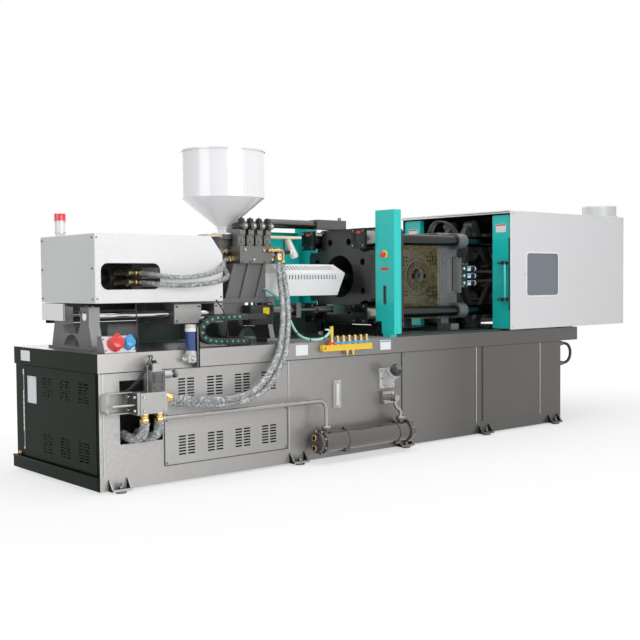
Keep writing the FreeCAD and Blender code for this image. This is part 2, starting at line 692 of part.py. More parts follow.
def make_fixed_platen():
    """Casting with a round dished boss, cut back around the four tie-bar nuts."""
    half = d.platen_size / 2
    body = new_body("fixed_platen_casting", slab_back, -half, platen_low, END_WALL)
    outline = new_sketch(body, "Slab")
    draw_rounded(outline, 0, 0, d.platen_size, d.platen_size, d.platen_corner)
    pad(body, outline, d.platen_slab)
    boss = common_of("dish", rod("dish_round", "X", (dish_face, slab_back + 1), (0, axis_z),
                                 d.dish_radius + 60),
                     block("dish_square", (dish_face, slab_back + 1), mirrored_pair(half - 14),
                           (axis_z - half + 14, axis_z + half - 14)))
    relief = [rod("nut_relief", "X", (dish_face - 1, slab_back), place_yz, d.retainer_size * 0.66)
              for place_yz in tie_places]
    boss = cut("dish_relieved", boss, *relief)
    feet = [block("platen_foot", (slab_back + 20, mould_face - 10), y,
                  (d.base_height, platen_low + 2 + d.platen_corner))
            for y in ((-half + 10, -half + 10 + d.foot_width),
                      (half - 10 - d.foot_width, half - 10))]
    casting = fuse("platen_rough", body, boss, *feet)
    ring_angles = [22.5 + 360 / d.ring_holes * index for index in range(int(d.ring_holes))]
    holes = [rod("ring_hole", "X", (dish_face - 1, mould_face + 1),
                 (d.ring_hole_circle * math.cos(math.radians(turn)),
                  axis_z + d.ring_hole_circle * math.sin(math.radians(turn))),
                 d.ring_hole_radius) for turn in ring_angles]
    holes += [
        cone("nozzle_taper", "X", (dish_face, mould_face - 2 * d.locating_depth), (0, axis_z),
             d.nozzle_hole, d.throat_radius),
        rod("nozzle_bore", "X", (mould_face - 3 * d.locating_depth, mould_face + 1),
            (0, axis_z), d.locating_radius),
    ]
    holes += tie_bores("tie_bore", (slab_back - 1, mould_face + 1))
    holes += mould_bolt_holes((mould_face - d.bolt_hole_depth, mould_face + 1))
    subpart("fixed_platen", cut("fixed_platen", casting, *holes))


def common_of(name, first, second):
    both = doc.addObject("Part::Common", name)
    both.Base, both.Tool = first, second
    return both


def make_tie_bars():
    end = tail_back + d.tail_nut_length + 40
    start = retainer_face - d.retainer_thickness + 4
    subpart("tie_bars", group("tie_bars", *[
        rod("tie_bar", "X", (start, end), place_yz, d.tie_radius) for place_yz in tie_places]))


def make_tie_bar_nuts():
    """Nut and square locking plate at the fixed platen; adjusting nut at the tail."""
    nuts = []
    half = d.retainer_size / 2
    for y, z in tie_places:
        nut = rod("nut", "X", (retainer_face, slab_back), (y, z), d.nut_radius)
        plate = block("lock_plate", (retainer_face - d.retainer_thickness, retainer_face),
                      (y - half, y + half), (z - half, z + half))
        collar = rod("nut_collar", "X", (slab_back - 18, slab_back), (y, z), d.nut_radius + 12)
        bore = rod("nut_bore", "X", (retainer_face - 40, slab_back + 1), (y, z),
                   d.tie_radius + d.tie_clearance)
        nuts.append(cut("front_nut", fuse("nut_rough", nut, plate, collar), bore))
        tail = rod("tail_nut", "X", (tail_back, tail_back + d.tail_nut_length), (y, z),
                   d.tail_nut_radius)
        tail_bore = rod("tail_nut_bore", "X", (tail_back - 1, tail_back + d.tail_nut_length + 1),
                        (y, z), d.tie_radius + d.tie_clearance)
        nuts.append(cut("adjusting_nut", tail, tail_bore))
    subpart("tie_bar_nuts", group("tie_bar_nuts", *nuts))


def make_moving_platen():
    """Narrow body between the tie bars, bearing ears round them, lugs for the toggles."""
    half_height = d.moving_height / 2
    width = 2 * d.moving_half_width
    body = new_body("moving_block", moving_face, -d.moving_half_width, axis_z - half_height,
                    END_WALL)
    outline = new_sketch(body, "Face")
    draw_rounded(outline, 0, 0, width, d.moving_height, d.platen_corner / 3)
    pad(body, outline, d.moving_thickness)
    pieces = [body]
    ear_low = moving_back - d.ear_length
    for y, z in tie_places:
        way = 1 if y > 0 else -1
        inner = way * (d.moving_half_width - 30)
        span = (inner, y) if way > 0 else (y, inner)
        pieces.append(rod("ear", "X", (ear_low, moving_back), (y, z), d.ear_radius))
        pieces.append(block("ear_web", (ear_low, moving_back), span,
                            (z - d.ear_radius, z + d.ear_radius)))
    shoe_low = d.base_height + d.strip_height + d.shoe_clearance
    for way in (-1, 1):
        edge = way * d.moving_half_width
        span = (edge - 40, edge + d.shoe_width) if way > 0 else (edge - d.shoe_width, edge + 40)
        pieces.append(block("shoe", (moving_face + 40, moving_back - d.ear_length - 6), span,
                            (shoe_low, shoe_low + 50)))
        arm_span = (edge - 40, edge) if way > 0 else (edge, edge + 40)
        pieces.append(block("shoe_arm", (moving_face + 40, moving_back - d.ear_length - 6),
                            arm_span, (shoe_low, axis_z - half_height + 10)))
    for way_z in (-1, 1):
        pivot_z = axis_z + way_z * d.toggle_pivot
        for low, high in ((-d.small_layer_out, -d.small_layer_in),
                          (d.small_layer_in, d.small_layer_out),
                          (-d.rear_layer_out, -d.front_layer_out - d.layer_gap),
                          (d.front_layer_out + d.layer_gap, d.rear_layer_out)):
            pieces.append(rod("lug_eye", "Y", (low, high), (front_pivot, pivot_z),
                              d.link_radius))
            pieces.append(block("lug", (moving_back - 1, front_pivot), (low, high),
                                (pivot_z - d.link_radius, pivot_z + d.link_radius)))
    rough = fuse("moving_rough", *pieces)
    tools = tie_bores("ear_bore", (ear_low - 1, moving_back + 1))
    tools.append(rod("hub", "X", (moving_face - 1, moving_face + d.hub_depth), (0, axis_z),
                     d.hub_radius))
    tools.append(rod("hub_bore", "X", (moving_face - 1, moving_face + d.locating_depth),
                     (0, axis_z), d.locating_radius))
    tools.append(rod("ejector_hole", "X", (moving_face - 1, moving_back + 1), (0, axis_z),
                     d.ejector_rod_radius + d.pin_clearance))
    for way in (-1, 1):
        tools.append(rod("knockout_hole", "X", (moving_face - 1, moving_back + 1),
                         (way * d.bolt_pitch / 2, axis_z), d.ejector_rod_radius + 2))
    tools += mould_bolt_holes((moving_face - 1, moving_face + d.bolt_hole_depth))
    for way_z in (-1, 1):
        tools.append(rod("pivot_bore", "Y", mirrored_pair(d.lug_layer_out),
                         (front_pivot, axis_z + way_z * d.toggle_pivot),
                         d.pin_radius + d.pin_clearance))
    tools.append(feature("hose_seats", line_solids(platen_lines())))
    subpart("moving_platen", cut("moving_platen", rough, *tools))


def make_tail_platen():
    half = d.platen_size / 2
    body = new_body("tail_slab", tail_face, -half, platen_low, END_WALL)
    outline = new_sketch(body, "Slab")
    draw_rounded(outline, 0, 0, d.platen_size, d.platen_size, d.platen_corner)
    pad(body, outline, d.tail_thickness)
    pieces = [body]
    for y in ((-half + 10, -half + 10 + d.foot_width), (half - 10 - d.foot_width, half - 10)):
        pieces.append(block("tail_foot", (tail_face + 10, tail_back - 10), y,
                            (d.base_height, platen_low + 2 + d.platen_corner)))
    for way_z in (-1, 1):
        pivot_z = axis_z + way_z * d.toggle_pivot
        for low, high in ((-d.lug_layer_out, -d.rear_layer_out - d.layer_gap),
                          (d.rear_layer_out + d.layer_gap, d.lug_layer_out),
                          (-d.front_layer_out, -d.small_layer_out - 14),
                          (d.small_layer_out + 14, d.front_layer_out)):
            pieces.append(rod("tail_eye", "Y", (low, high), (rear_pivot, pivot_z),
                              d.link_radius))
            pieces.append(block("tail_lug", (rear_pivot, tail_face + 1), (low, high),
                                (pivot_z - d.link_radius, pivot_z + d.link_radius)))
    rough = fuse("tail_rough", *pieces)
    tools = tie_bores("tail_bore", (tail_face - 1, tail_back + 1))
    tools.append(rod("rod_bore", "X", (tail_face - 1, tail_back + 1), (0, axis_z),
                     d.piston_rod_radius + d.pin_clearance))
    for way_z in (-1, 1):
        tools.append(rod("tail_pivot_bore", "Y", mirrored_pair(d.lug_layer_out + 1),
                         (rear_pivot, axis_z + way_z * d.toggle_pivot),
                         d.pin_radius + d.pin_clearance))
    subpart("tail_platen", cut("tail_platen", rough, *tools))


def make_clamp_cylinder():
    outer = d.clamp_bore + d.cylinder_wall
    end = tail_back + d.cylinder_length
    tube = rod("clamp_tube", "X", (tail_back, end), (0, axis_z), outer)
    flange = rod("clamp_flange", "X", (tail_back, tail_back + 40), (0, axis_z), outer + 38)
    cap = rod("clamp_cap", "X", (end - 46, end), (0, axis_z), outer + 22)
    ports = [rod("clamp_port", "Z", (axis_z, axis_z + outer + 26), (x, 0), 22)
             for x in (tail_back + 70, end - 76)]
    rough = fuse("clamp_cylinder_rough", tube, flange, cap, *ports)
    bore = rod("clamp_bore", "X", (tail_back + 20, end - 30), (0, axis_z), d.clamp_bore)
    gland = rod("clamp_gland", "X", (tail_back - 1, tail_back + 21), (0, axis_z),
                d.piston_rod_radius + d.pin_clearance)
    subpart("clamp_cylinder", cut("clamp_cylinder", rough, bore, gland))


def crosshead_x():
    """Where the crosshead's pins stand with the clamp open."""
    reach = float(d.small_link_share) * arm
    pin_x = float(rear_pivot) - reach * math.cos(open_angle)
    rise = reach * math.sin(open_angle) + float(d.crosshead_drop)
    return pin_x - math.sqrt(float(d.small_link_length) ** 2 - rise ** 2)


def make_crosshead():
    """Crosshead with its two pins, the clamp piston rod and the piston."""
    centre = crosshead_x()
    drop = d.toggle_pivot - d.crosshead_drop
    half = d.small_layer_in - d.layer_gap
    piston_from = tail_back + d.piston_rest
    body = [cuboid((centre - 34, centre + 34), (-half, half),
                   (axis_z - drop - 30, axis_z + drop + 30)),
            round_bar("X", (centre + 20, piston_from + 1), (0, axis_z), d.piston_rod_radius),
            round_bar("X", (piston_from, piston_from + d.piston_length), (0, axis_z),
                      d.clamp_bore - d.pin_clearance)]
    for way in (-1, 1):
        body.append(round_bar("Y", mirrored_pair(d.small_layer_out), (centre, axis_z + way * drop),
                              d.small_pin_radius))
    subpart("crosshead", feature("crosshead", fused(body)))


def link_plate(start, end, radius, low, high):
    """A flat link: two round eyes joined by a straight waisted web."""
    (x0, z0), (x1, z1) = start, end
    along = Vector(x1 - x0, 0, z1 - z0)
    across = Vector(-along.z, 0, along.x).normalize() * (radius * 0.8)
    base = Vector(0, low, 0)
    corners = [Vector(x0, 0, z0) + across, Vector(x1, 0, z1) + across,
               Vector(x1, 0, z1) - across, Vector(x0, 0, z0) - across]
    web = prism(corners, base, Vector(0, high - low, 0))
    eyes = [round_bar("Y", (low, high), (x, z), radius) for x, z in (start, end)]
    return fused([web] + eyes)


def both_sides(low, high):
    return ((-high, -low), (low, high))


def make_toggle(name, way):
    """The rear, front and small links of the upper (way 1) or lower (way -1) toggle."""
    pivot_z = axis_z + way * d.toggle_pivot
    rear = (rear_pivot, pivot_z)
    knee = (rear_pivot - arm * math.cos(open_angle), pivot_z + way * arm * math.sin(open_angle))
    forward = (front_pivot, pivot_z)
    share = d.small_link_share
    mid = (rear[0] + (knee[0] - rear[0]) * share, rear[1] + (knee[1] - rear[1]) * share)
    head = (crosshead_x(), pivot_z - way * d.crosshead_drop)

    cheeks = [link_plate(rear, knee, d.link_radius, low, high)
              for low, high in both_sides(d.front_layer_out + d.layer_gap, d.rear_layer_out)]
    rear_pins = [round_bar("Y", (low, high), rear, d.pin_radius)
                 for low, high in both_sides(d.small_layer_out + 14, d.lug_layer_out)]
    stubs = [round_bar("Y", (low, high), mid, d.small_pin_radius)
             for low, high in both_sides(d.small_layer_out + d.layer_gap, d.rear_layer_out)]
    bridge = []
    for (low, high) in ((-d.rear_layer_out, d.rear_layer_out),):
        bridge.append(round_bar("Y", (low, high), tie_point(rear, knee, 0.34), 16))
    subpart(f"rear_link_{name}",
            feature("rear_link", fused(cheeks + rear_pins + stubs + bridge)))

    arms = [link_plate(forward, knee, d.link_radius, low, high)
            for low, high in both_sides(d.small_layer_out + d.layer_gap, d.front_layer_out)]
    front_pins = [round_bar("Y", (low, high), forward, d.pin_radius)
                  for low, high in both_sides(d.small_layer_in, d.rear_layer_out)]
    cross = round_bar("Y", mirrored_pair(d.front_layer_out), tie_point(forward, knee, 0.5), 16)
    subpart(f"front_link_{name}", feature("front_link", fused(arms + front_pins + [cross])))

    bore = round_bar("Y", mirrored_pair(d.rear_layer_out), head,
                     d.small_pin_radius + d.pin_clearance)
    small = [link_plate(head, mid, d.small_eye, low, high).cut(bore)
             for low, high in both_sides(d.small_layer_in, d.small_layer_out)]
    spacer = round_bar("Y", mirrored_pair(d.small_layer_out), tie_point(head, mid, 0.86), 14)
    subpart(f"small_link_{name}", feature("small_link", fused(small + [spacer])))


def tie_point(start, end, share):
    return (start[0] + (end[0] - start[0]) * share, start[1] + (end[1] - start[1]) * share)


def make_ejector():
    """Ejector plate with three rods, ending flush with the mould face's inner step."""
    plate_low = moving_back + 90
    plate = cuboid((plate_low, plate_low + 26), mirrored_pair(d.small_layer_in - 4),
                   (axis_z - 44, axis_z + 44))
    rods = [round_bar("X", (moving_face + d.hub_depth + 30, plate_low + 1), (0, axis_z),
                      d.ejector_rod_radius)]
    subpart("ejector", feature("ejector", fused([plate] + rods)))


def make_platen_valves():
    """Core-pull valve block bolted to the moving platen's side, with three solenoids."""
    side = -d.moving_half_width
    low_x = moving_back - 20
    block_shape = cuboid((low_x, low_x + 70), (side - 70, side), (axis_z - 95, axis_z + 105))
    valves = []
    for step in (-58, 0, 58):
        z = axis_z + step
        valves.append(cuboid((low_x + 60, low_x + 116), (side - 66, side - 20), (z - 21, z + 21)))
        valves.append(round_bar("X", (low_x + 116, low_x + 172), (side - 43, z), 21))
        valves.append(Part.makeCone(16, 5, 44, Vector(low_x + 172, side - 43, z),
                                    Vector(1, 0, 0)))
    back_plate = cuboid((moving_back - 60, low_x + 30), (side - 12, side),
                        (axis_z - 120, axis_z + 150))
    whole = fused([block_shape, back_plate] + valves)
    subpart("platen_valves", feature("platen_valves", whole.cut(line_solids(platen_lines()))))


# ---------------------------------------------------------------- guard, post and doors

def make_clamp_guard():
    """Folded sheet housing, open towards the mould and downwards, with a window."""
    half = d.guard_half_width
    outer = block("guard_outer", (guard_left, guard_right), mirrored_pair(half),
                  (d.guard_bottom, d.guard_top))
    inner = block("guard_inner", (guard_left - 1, guard_right - d.guard_sheet),
                  mirrored_pair(half - d.guard_sheet),
                  (d.guard_bottom + d.guard_sheet, d.guard_top - d.guard_sheet))
    under = block("guard_under", (guard_left - 1, guard_right - d.guard_lip),
                  mirrored_pair(half - d.guard_lip), (d.guard_bottom - 1, d.guard_bottom + 10))
    body = new_body("window_cut", guard_left + d.pane_from, -half + 20,
                    d.guard_bottom + d.pane_bottom, FRONT_WALL)
    sketch = new_sketch(body, "Window")
    draw_rounded(sketch, 0, 0, d.pane_width, d.pane_height, d.pane_corner)
    pad(body, sketch, 40)
    feet = [block("guard_foot", (guard_left + start, guard_left + start + 160), span,
                  (d.base_height, d.guard_bottom + 1))
            for start in (40, 380, 720)
            for span in ((-half_width + 2, -half_width + 20), (half_width - 20, half_width - 2))]
    hole = rod("cowl_hole", "Z", (d.guard_top - 20, d.guard_top + 1),
               (guard_right - d.cowl_radius - 2, -half + d.cowl_radius + 2),
               d.cowl_radius - 14)
    shell = cut("guard_shell", outer, inner, under, body, hole)
    subpart("clamp_guard", fuse("clamp_guard", shell, *feet))


def make_guard_window():
    y = -d.guard_half_width + d.guard_sheet
    x, z = guard_left + d.pane_from, d.guard_bottom + d.pane_bottom
    subpart("guard_window", block(
        "guard_window", (x - d.pane_lap, x + d.pane_width + d.pane_lap), (y, y + d.pane_sheet),
        (z - d.pane_lap, z + d.pane_height + d.pane_lap)))


def make_vent_cowl():
    centre = (guard_right - d.cowl_radius - 2, -d.guard_half_width + d.cowl_radius + 2)
    top = d.guard_top + d.cowl_height
    skin = rod("cowl_skin", "Z", (d.guard_top, top), centre, d.cowl_radius)
    rim = rod("cowl_rim", "Z", (top - 8, top), centre, d.cowl_radius + 2)
    space = rod("cowl_space", "Z", (d.guard_top - 1, top + 1), centre,
                d.cowl_radius - d.cowl_sheet)
    subpart("vent_cowl", cut("vent_cowl", fuse("cowl_rough", skin, rim), space))


def make_door_post():
    """Sheet-metal post beside the fixed platen, with the stop button and a grip slot."""
    low_x = left + d.post_from
    high_x = low_x + d.post_thickness
    front_y = -d.guard_half_width
    back_y = front_y + d.post_width
    skin = block("post_skin", (low_x, high_x), (front_y, back_y), (d.post_bottom, d.post_top))
    space = block("post_space", (low_x + d.post_sheet, high_x - d.post_sheet),
                  (front_y + d.post_sheet, back_y - d.post_sheet),
                  (d.post_bottom - 1, d.post_top - d.post_sheet))
    notch = block("post_notch", (low_x - 1, high_x + 1), (back_y - d.post_notch_width, back_y + 1),
                  (d.post_bottom - 1, d.post_bottom + d.post_notch_height))
    slot = new_body("post_slot", low_x - 1, front_y + d.post_width / 2 - d.post_slot_width / 2,
                    d.post_slot_bottom, END_WALL)
    sketch = new_sketch(slot, "Slot")
    draw_rounded(sketch, 0, 0, d.post_slot_width, d.post_slot_length,
                 d.post_slot_width / 2 - 0.5)
    pad(slot, sketch, 2 * d.post_sheet)
    stem = rod("stop_stem_hole", "X", (low_x - 1, low_x + d.post_sheet + 1),
               (front_y + d.post_width / 2, d.estop_height), 11.05)
    shell = cut("post_shell", skin, space, notch, slot, stem)
    foot = block("post_foot", (low_x + d.post_sheet - 1, high_x - d.post_sheet + 1),
                 (front + 6, back_y - d.post_notch_width - 12),
                 (d.base_height, d.post_bottom + 40))
    collar_rough = rod("stop_collar", "X", (low_x - 6, low_x),
                       (front_y + d.post_width / 2, d.estop_height), d.estop_collar)
    collar_bore = rod("stop_collar_bore", "X", (low_x - 7, low_x + 1),
                      (front_y + d.post_width / 2, d.estop_height), 11.05)
    collar = cut("stop_collar_ring", collar_rough, collar_bore)
    subpart("door_post", fuse("door_post", shell, foot, collar))


def make_estop_button():
    low_x = left + d.post_from
    centre = (-d.guard_half_width + d.post_width / 2, d.estop_height)
    stem = rod("stop_stem", "X", (low_x - 14, low_x + 14), centre, 11)
    head = rod("stop_head", "X", (low_x - 26, low_x - 12), centre, d.estop_button)
    crown = cone("stop_crown", "X", (low_x - 34, low_x - 26), centre, d.estop_button - 7,
                 d.estop_button)
    subpart("estop_button", fuse("estop_button", stem, head, crown))


def sliding_door(label, side):
    """Door leaf behind the guard, leading channel with a grip, and the grip bar."""
    channel_x = (guard_left + d.door_gap, guard_left + d.door_gap + d.door_channel)
    outer_y = d.guard_half_width - d.guard_sheet - d.door_leaf - 5

    def span(low, high):
        return (low, high) if side > 0 else (-high, -low)

    leaf = block(label + "_leaf", (channel_x[0] + 4, channel_x[0] + 4 + d.leaf_length),
                 span(outer_y, outer_y + d.door_leaf - 4), (d.door_low, d.door_high))
    channel = block(label + "_channel", channel_x,
                    span(outer_y + d.door_leaf - d.door_channel_width, outer_y + d.door_leaf),
                    (d.door_low, d.door_high))
    hollow = block(label + "_hollow", (channel_x[0] + 3, channel_x[1] + 1),
                   span(outer_y + d.door_leaf - d.door_channel_width + 3, outer_y - 3),
                   (d.door_low + 3, d.door_high - 3))
    notch = block(label + "_notch", (channel_x[0] - 1, channel_x[0] + 30),
                  span(outer_y + d.door_leaf - d.notch_depth, outer_y + d.door_leaf + 1),
                  (d.door_low + d.notch_from, d.door_low + d.notch_from + d.notch_length))
    shell = cut(label + "_shell", fuse(label + "_rough", leaf, channel), hollow, notch)
    grip_y = side * (outer_y + d.door_leaf - 30)
    grip_x = channel_x[0] - d.grip_standoff
    bar = rod(label + "_bar", "Z", (d.grip_low - 16, d.grip_high + 16), (grip_x, grip_y),
              d.grip_radius)
    arms = [block(label + "_arm", (grip_x - 4, channel_x[0] + 1),
                  span(outer_y + d.door_leaf - 96, outer_y + d.door_leaf - 26),
                  (z - 8, z + 8)) for z in (d.grip_low, d.grip_high)]
    subpart(label, fuse(label, shell, bar, *arms))


# ---------------------------------------------------------------- injection unit

rod_y = d.rod_spacing / 2
rod_left = left + d.rod_from
rod_right = rod_left + d.rod_length
barrel_left = left + d.feed_from
hopper_x = left + d.hopper_at


def make_guide_rods():
    subpart("guide_rods", group("guide_rods", *[
        rod("guide_rod", "X", (rod_left, rod_right), (way * rod_y, d.rod_height), d.rod_radius)
        for way in (-1, 1)]))


def make_rod_stands():
    """Rear stand cast with an arch between its two blocks, and the front stand."""
    stands = []
    half = d.stand_block / 2
    low_block, high_block = d.rod_height - half, d.rod_height + half
    for start, length in ((rod_left, d.stand_length), (rod_right - d.front_stand, d.front_stand)):
        blocks = [cuboid((start, start + length), (way * rod_y - half, way * rod_y + half),
                         (low_block, high_block)) for way in (-1, 1)]
        outer = rod_y + half
        foot = outer + 36
        inner = rod_y - half
        corners = [(0, -foot, d.base_height), (0, foot, d.base_height),
                   (0, foot, d.base_height + 26), (0, outer, low_block + 1),
                   (0, inner, low_block + 1), (0, inner - 30, low_block - 52),
                   (0, -inner + 30, low_block - 52), (0, -inner, low_block + 1),
                   (0, -outer, low_block + 1), (0, -foot, d.base_height + 26)]
        pedestal = prism(corners, Vector(start, 0, 0), Vector(length, 0, 0))
        arch = round_bar("X", (start - 1, start + length + 1), (0, d.base_height - 20), inner - 8)
        flange = cuboid((start - 26, start + length + 26), (-foot, foot),
                        (d.base_height, d.base_height + 18))
        stand = fused([pedestal.cut(arch), flange] + blocks)
        bores = [round_bar("X", (start - 1, start + length + 1), (way * rod_y, d.rod_height),
                           d.rod_radius) for way in (-1, 1)]
        stands.append(feature("rod_stand", stand.cut(bores[0]).cut(bores[1])))
    subpart("rod_stands", group("rod_stands", *stands))


def make_carriage_frame():
    """Cast carriage: rod bearings, saddle, ribbed feed section and injection cylinders."""
    half = d.stand_block / 2
    low, high = d.rod_height - d.bearing_height / 2, d.rod_height + d.bearing_height / 2
    saddle_low = high - 4
    saddle_high = saddle_low + d.saddle_height
    rear = left + d.rear_bearing_from
    forward = left + d.front_bearing_from
    feed_low, feed_high = barrel_left, barrel_left + d.feed_length
    pieces = []
    for start, length in ((rear, d.rear_bearing_length), (forward, d.front_bearing_length)):
        for way in (-1, 1):
            pieces.append(cuboid((start, start + length),
                                 (way * rod_y - half, way * rod_y + half), (low, high)))
    outer = rod_y + half
    pieces.append(cuboid((rear, feed_high - 30), (-outer + 14, outer - 14),
                         (saddle_low, saddle_high)))
    for way in (-1, 1):
        pieces.append(cuboid((forward + 30, forward + 270),
                             (way * rod_y - half + 20, way * rod_y + half - 20),
                             (low + 30, saddle_low + 1)))
    feed_half = d.feed_width / 2
    pieces.append(cuboid((feed_low + 70, feed_high), (-feed_half, feed_half),
                         (feed_box_low(saddle_high), d.feed_top)))
    for way in (-1, 1):
        y = way * (feed_half - d.rib) if way > 0 else -feed_half
        for start in (feed_low, feed_low + 120, feed_low + 250):
            corners = [(start, 0, saddle_high - 1), (start + 90, 0, saddle_high - 1),
                       (start + 90, 0, d.feed_top), (start + 74, 0, d.feed_top)]
            pieces.append(prism(corners, Vector(0, y + way * d.rib, 0), Vector(0, d.rib, 0)))
        pieces.append(round_bar("X", (feed_low - 180, feed_low + 91), (0, axis_z + way * 85),
                                d.injection_cylinder))
    pieces.append(cuboid((feed_low + 40, feed_low + 91), (-70, 70), (axis_z - 137, axis_z + 137)))
    pieces.append(cuboid((hopper_x - 75, hopper_x + 75), (-54, 54),
                         (d.feed_top - 1, throat_top() - 10)))
    side = d.flange_radius
    pieces.append(cuboid((hopper_x - side, hopper_x + side), (-side, side),
                         (throat_top() - 14, throat_top())))
    for way in (-1, 1):
        rail = sorted((way * (d.gate_half + d.part_gap), way * side))
        pieces.append(cuboid((hopper_x - 50, hopper_x + 50), rail,
                             (throat_top() - 1, d.hopper_outlet - d.neck_length)))
    port_x, port_y, port_z = WATER_HOSE[0]
    pieces.append(round_bar("Y", (port_y, -feed_half + 1), (port_x, port_z), 12))
    body = fused(pieces)
    tools = [round_bar("X", (rear - 1, feed_high + 1), (way * rod_y, d.rod_height),
                       d.rod_radius + d.rod_clearance) for way in (-1, 1)]
    tools.append(round_bar("X", (feed_low + 30, feed_high + 1), (0, axis_z), d.barrel_radius))
    tools.append(round_bar("Z", (axis_z, throat_top() + 1), (hopper_x, 0), d.outlet_radius))
    for way in (-1, 1):
        tools.append(round_bar("X", (feed_low - 181, feed_low + 60), (0, axis_z + way * 85),
                               d.injection_rod_radius + d.rod_clearance))
    tools.append(line_solids([(WATER_HOSE, d.water_hose_radius)]))
    for tool in tools:
        body = body.cut(tool)
    subpart("carriage_frame", feature("carriage_frame", body))


def feed_box_low(saddle_high):
    return saddle_high - 1


def throat_top():
    return d.hopper_outlet - d.neck_length - d.gate_thickness - 2 * d.part_gap


def make_barrel():
    end = left + d.barrel_end
    outer = rod("barrel_body", "X", (barrel_left + 34, end), (0, axis_z), d.barrel_radius)
    bore = rod("barrel_bore", "X", (barrel_left + 33, end + 1), (0, axis_z), d.barrel_bore)
    throat = rod("barrel_throat", "Z", (axis_z, axis_z + d.barrel_radius + 1), (hopper_x, 0),
                 d.outlet_radius - 12)
    subpart("barrel", cut("barrel", outer, bore, throat))


def make_heater_bands():
    bands = []
    start = barrel_left + d.feed_length + 30
    for index in range(int(d.heater_count)):
        low = start + index * (d.heater_length + d.heater_gap)
        band = rod("band", "X", (low, low + d.heater_length), (0, axis_z), d.heater_radius)
        clamp = block("band_clamp", (low + 10, low + d.heater_length - 10), (-14, 14),
                      (axis_z - d.heater_radius - 16, axis_z - d.heater_radius + 4))
        hole = rod("band_bore", "X", (low - 1, low + d.heater_length + 1), (0, axis_z),
                   d.barrel_radius)
        bands.append(cut("heater_band", fuse("band_rough", band, clamp), hole))
    subpart("heater_bands", group("heater_bands", *bands))


def make_nozzle():
    """Turned nozzle: flange on the barrel, hexagon, long body and radiused tip."""
    start = left + d.barrel_end
    end = start + d.nozzle_length
    pieces = [
        round_bar("X", (start, start + 30), (0, axis_z), d.barrel_radius - 4),
        round_bar("X", (start + 29, end - 30), (0, axis_z), d.nozzle_radius),
        Part.makeCone(d.nozzle_radius, d.nozzle_tip + 4, 30, Vector(end - 30, 0, axis_z),
                      Vector(1, 0, 0)),
    ]
    hexagon = []
    for turn in range(6):
        angle = math.radians(60 * turn)
        hexagon.append((0, (d.nozzle_radius + 9) * math.cos(angle),
                        axis_z + (d.nozzle_radius + 9) * math.sin(angle)))
    pieces.append(prism(hexagon, Vector(start + 30, 0, 0), Vector(26, 0, 0)))
    bore = round_bar("X", (start - 1, end + 1), (0, axis_z), 3)
    subpart("nozzle", feature("nozzle", fused(pieces).cut(bore)))


def make_screw():
    """Plasticizing screw with drive shank, tapering root, flight and tip."""
    radius = d.barrel_bore - d.screw_clearance
    start = left + d.thrust_from + d.thrust_thickness
    root_from = hopper_x - 60
    end = left + d.barrel_end - 60
    pieces = [
        round_bar("X", (start - 16, root_from), (0, axis_z), radius),
        round_bar("X", (root_from - 1, end), (0, axis_z), radius * 0.72),
        Part.makeCone(radius * 0.72, 4, 50, Vector(end, 0, axis_z), Vector(1, 0, 0)),
    ]
    pitch = 2 * float(radius)
    turns = 8
    for index in range(turns):
        x = float(end) - 10 - index * pitch
        ring = Part.makeTorus(float(radius) * 0.8, float(radius) * 0.2, Vector(x, 0, axis_z),
                              Vector(1, 0.3, 0))
        pieces.append(ring)
    subpart("screw", feature("screw", fused(pieces)))


def make_thrust_plate():
    """Plate that pushes the screw, with the two injection piston rods."""
    low = left + d.thrust_from
    half_height = d.thrust_height / 2
    plate = cuboid((low, low + d.thrust_thickness), mirrored_pair(d.thrust_half),
                   (axis_z - half_height, axis_z + half_height))
    rods = [round_bar("X", (low + d.thrust_thickness - 1, barrel_left + 30),
                      (0, axis_z + way * 85), d.injection_rod_radius) for way in (-1, 1)]
    seat = round_bar("X", (low - 1, low + 51), (0, axis_z), 30)
    bore = round_bar("X", (low, low + d.thrust_thickness + 1), (0, axis_z), d.barrel_bore)
    subpart("thrust_plate", feature("thrust_plate", fused([plate] + rods).cut(seat).cut(bore)))


def make_hydraulic_motor():
    """Radial-piston motor: five cylinder heads round a drum, and two side ports."""
    end = left + d.thrust_from
    start = end - d.motor_length
    drum = round_bar("X", (start, end), (0, axis_z), d.motor_radius - 22)
    pieces = [drum, round_bar("X", (start - 26, start + 1), (0, axis_z), 46),
              round_bar("X", (end - 1, end + 50), (0, axis_z), 29.9)]
    for index in range(5):
        angle = math.radians(90 + 72 * index)
        way = Vector(0, math.cos(angle), math.sin(angle))
        centre = Vector(start + d.motor_length * 0.45, 0, axis_z)
        pieces.append(Part.makeCylinder(40, d.motor_radius + 14, centre, way))
    for points in (UPPER_MOTOR_HOSE, LOWER_MOTOR_HOSE):
        mouth = Vector(*points[0])
        way = (mouth - Vector(*points[1])).normalize()
        pieces.append(Part.makeCylinder(d.port_radius - 2, 62, mouth, way))
        pieces.append(Part.makeCylinder(d.port_radius, 150, mouth + way * 40, way))
    subpart("hydraulic_motor", feature("hydraulic_motor", fused(pieces)))


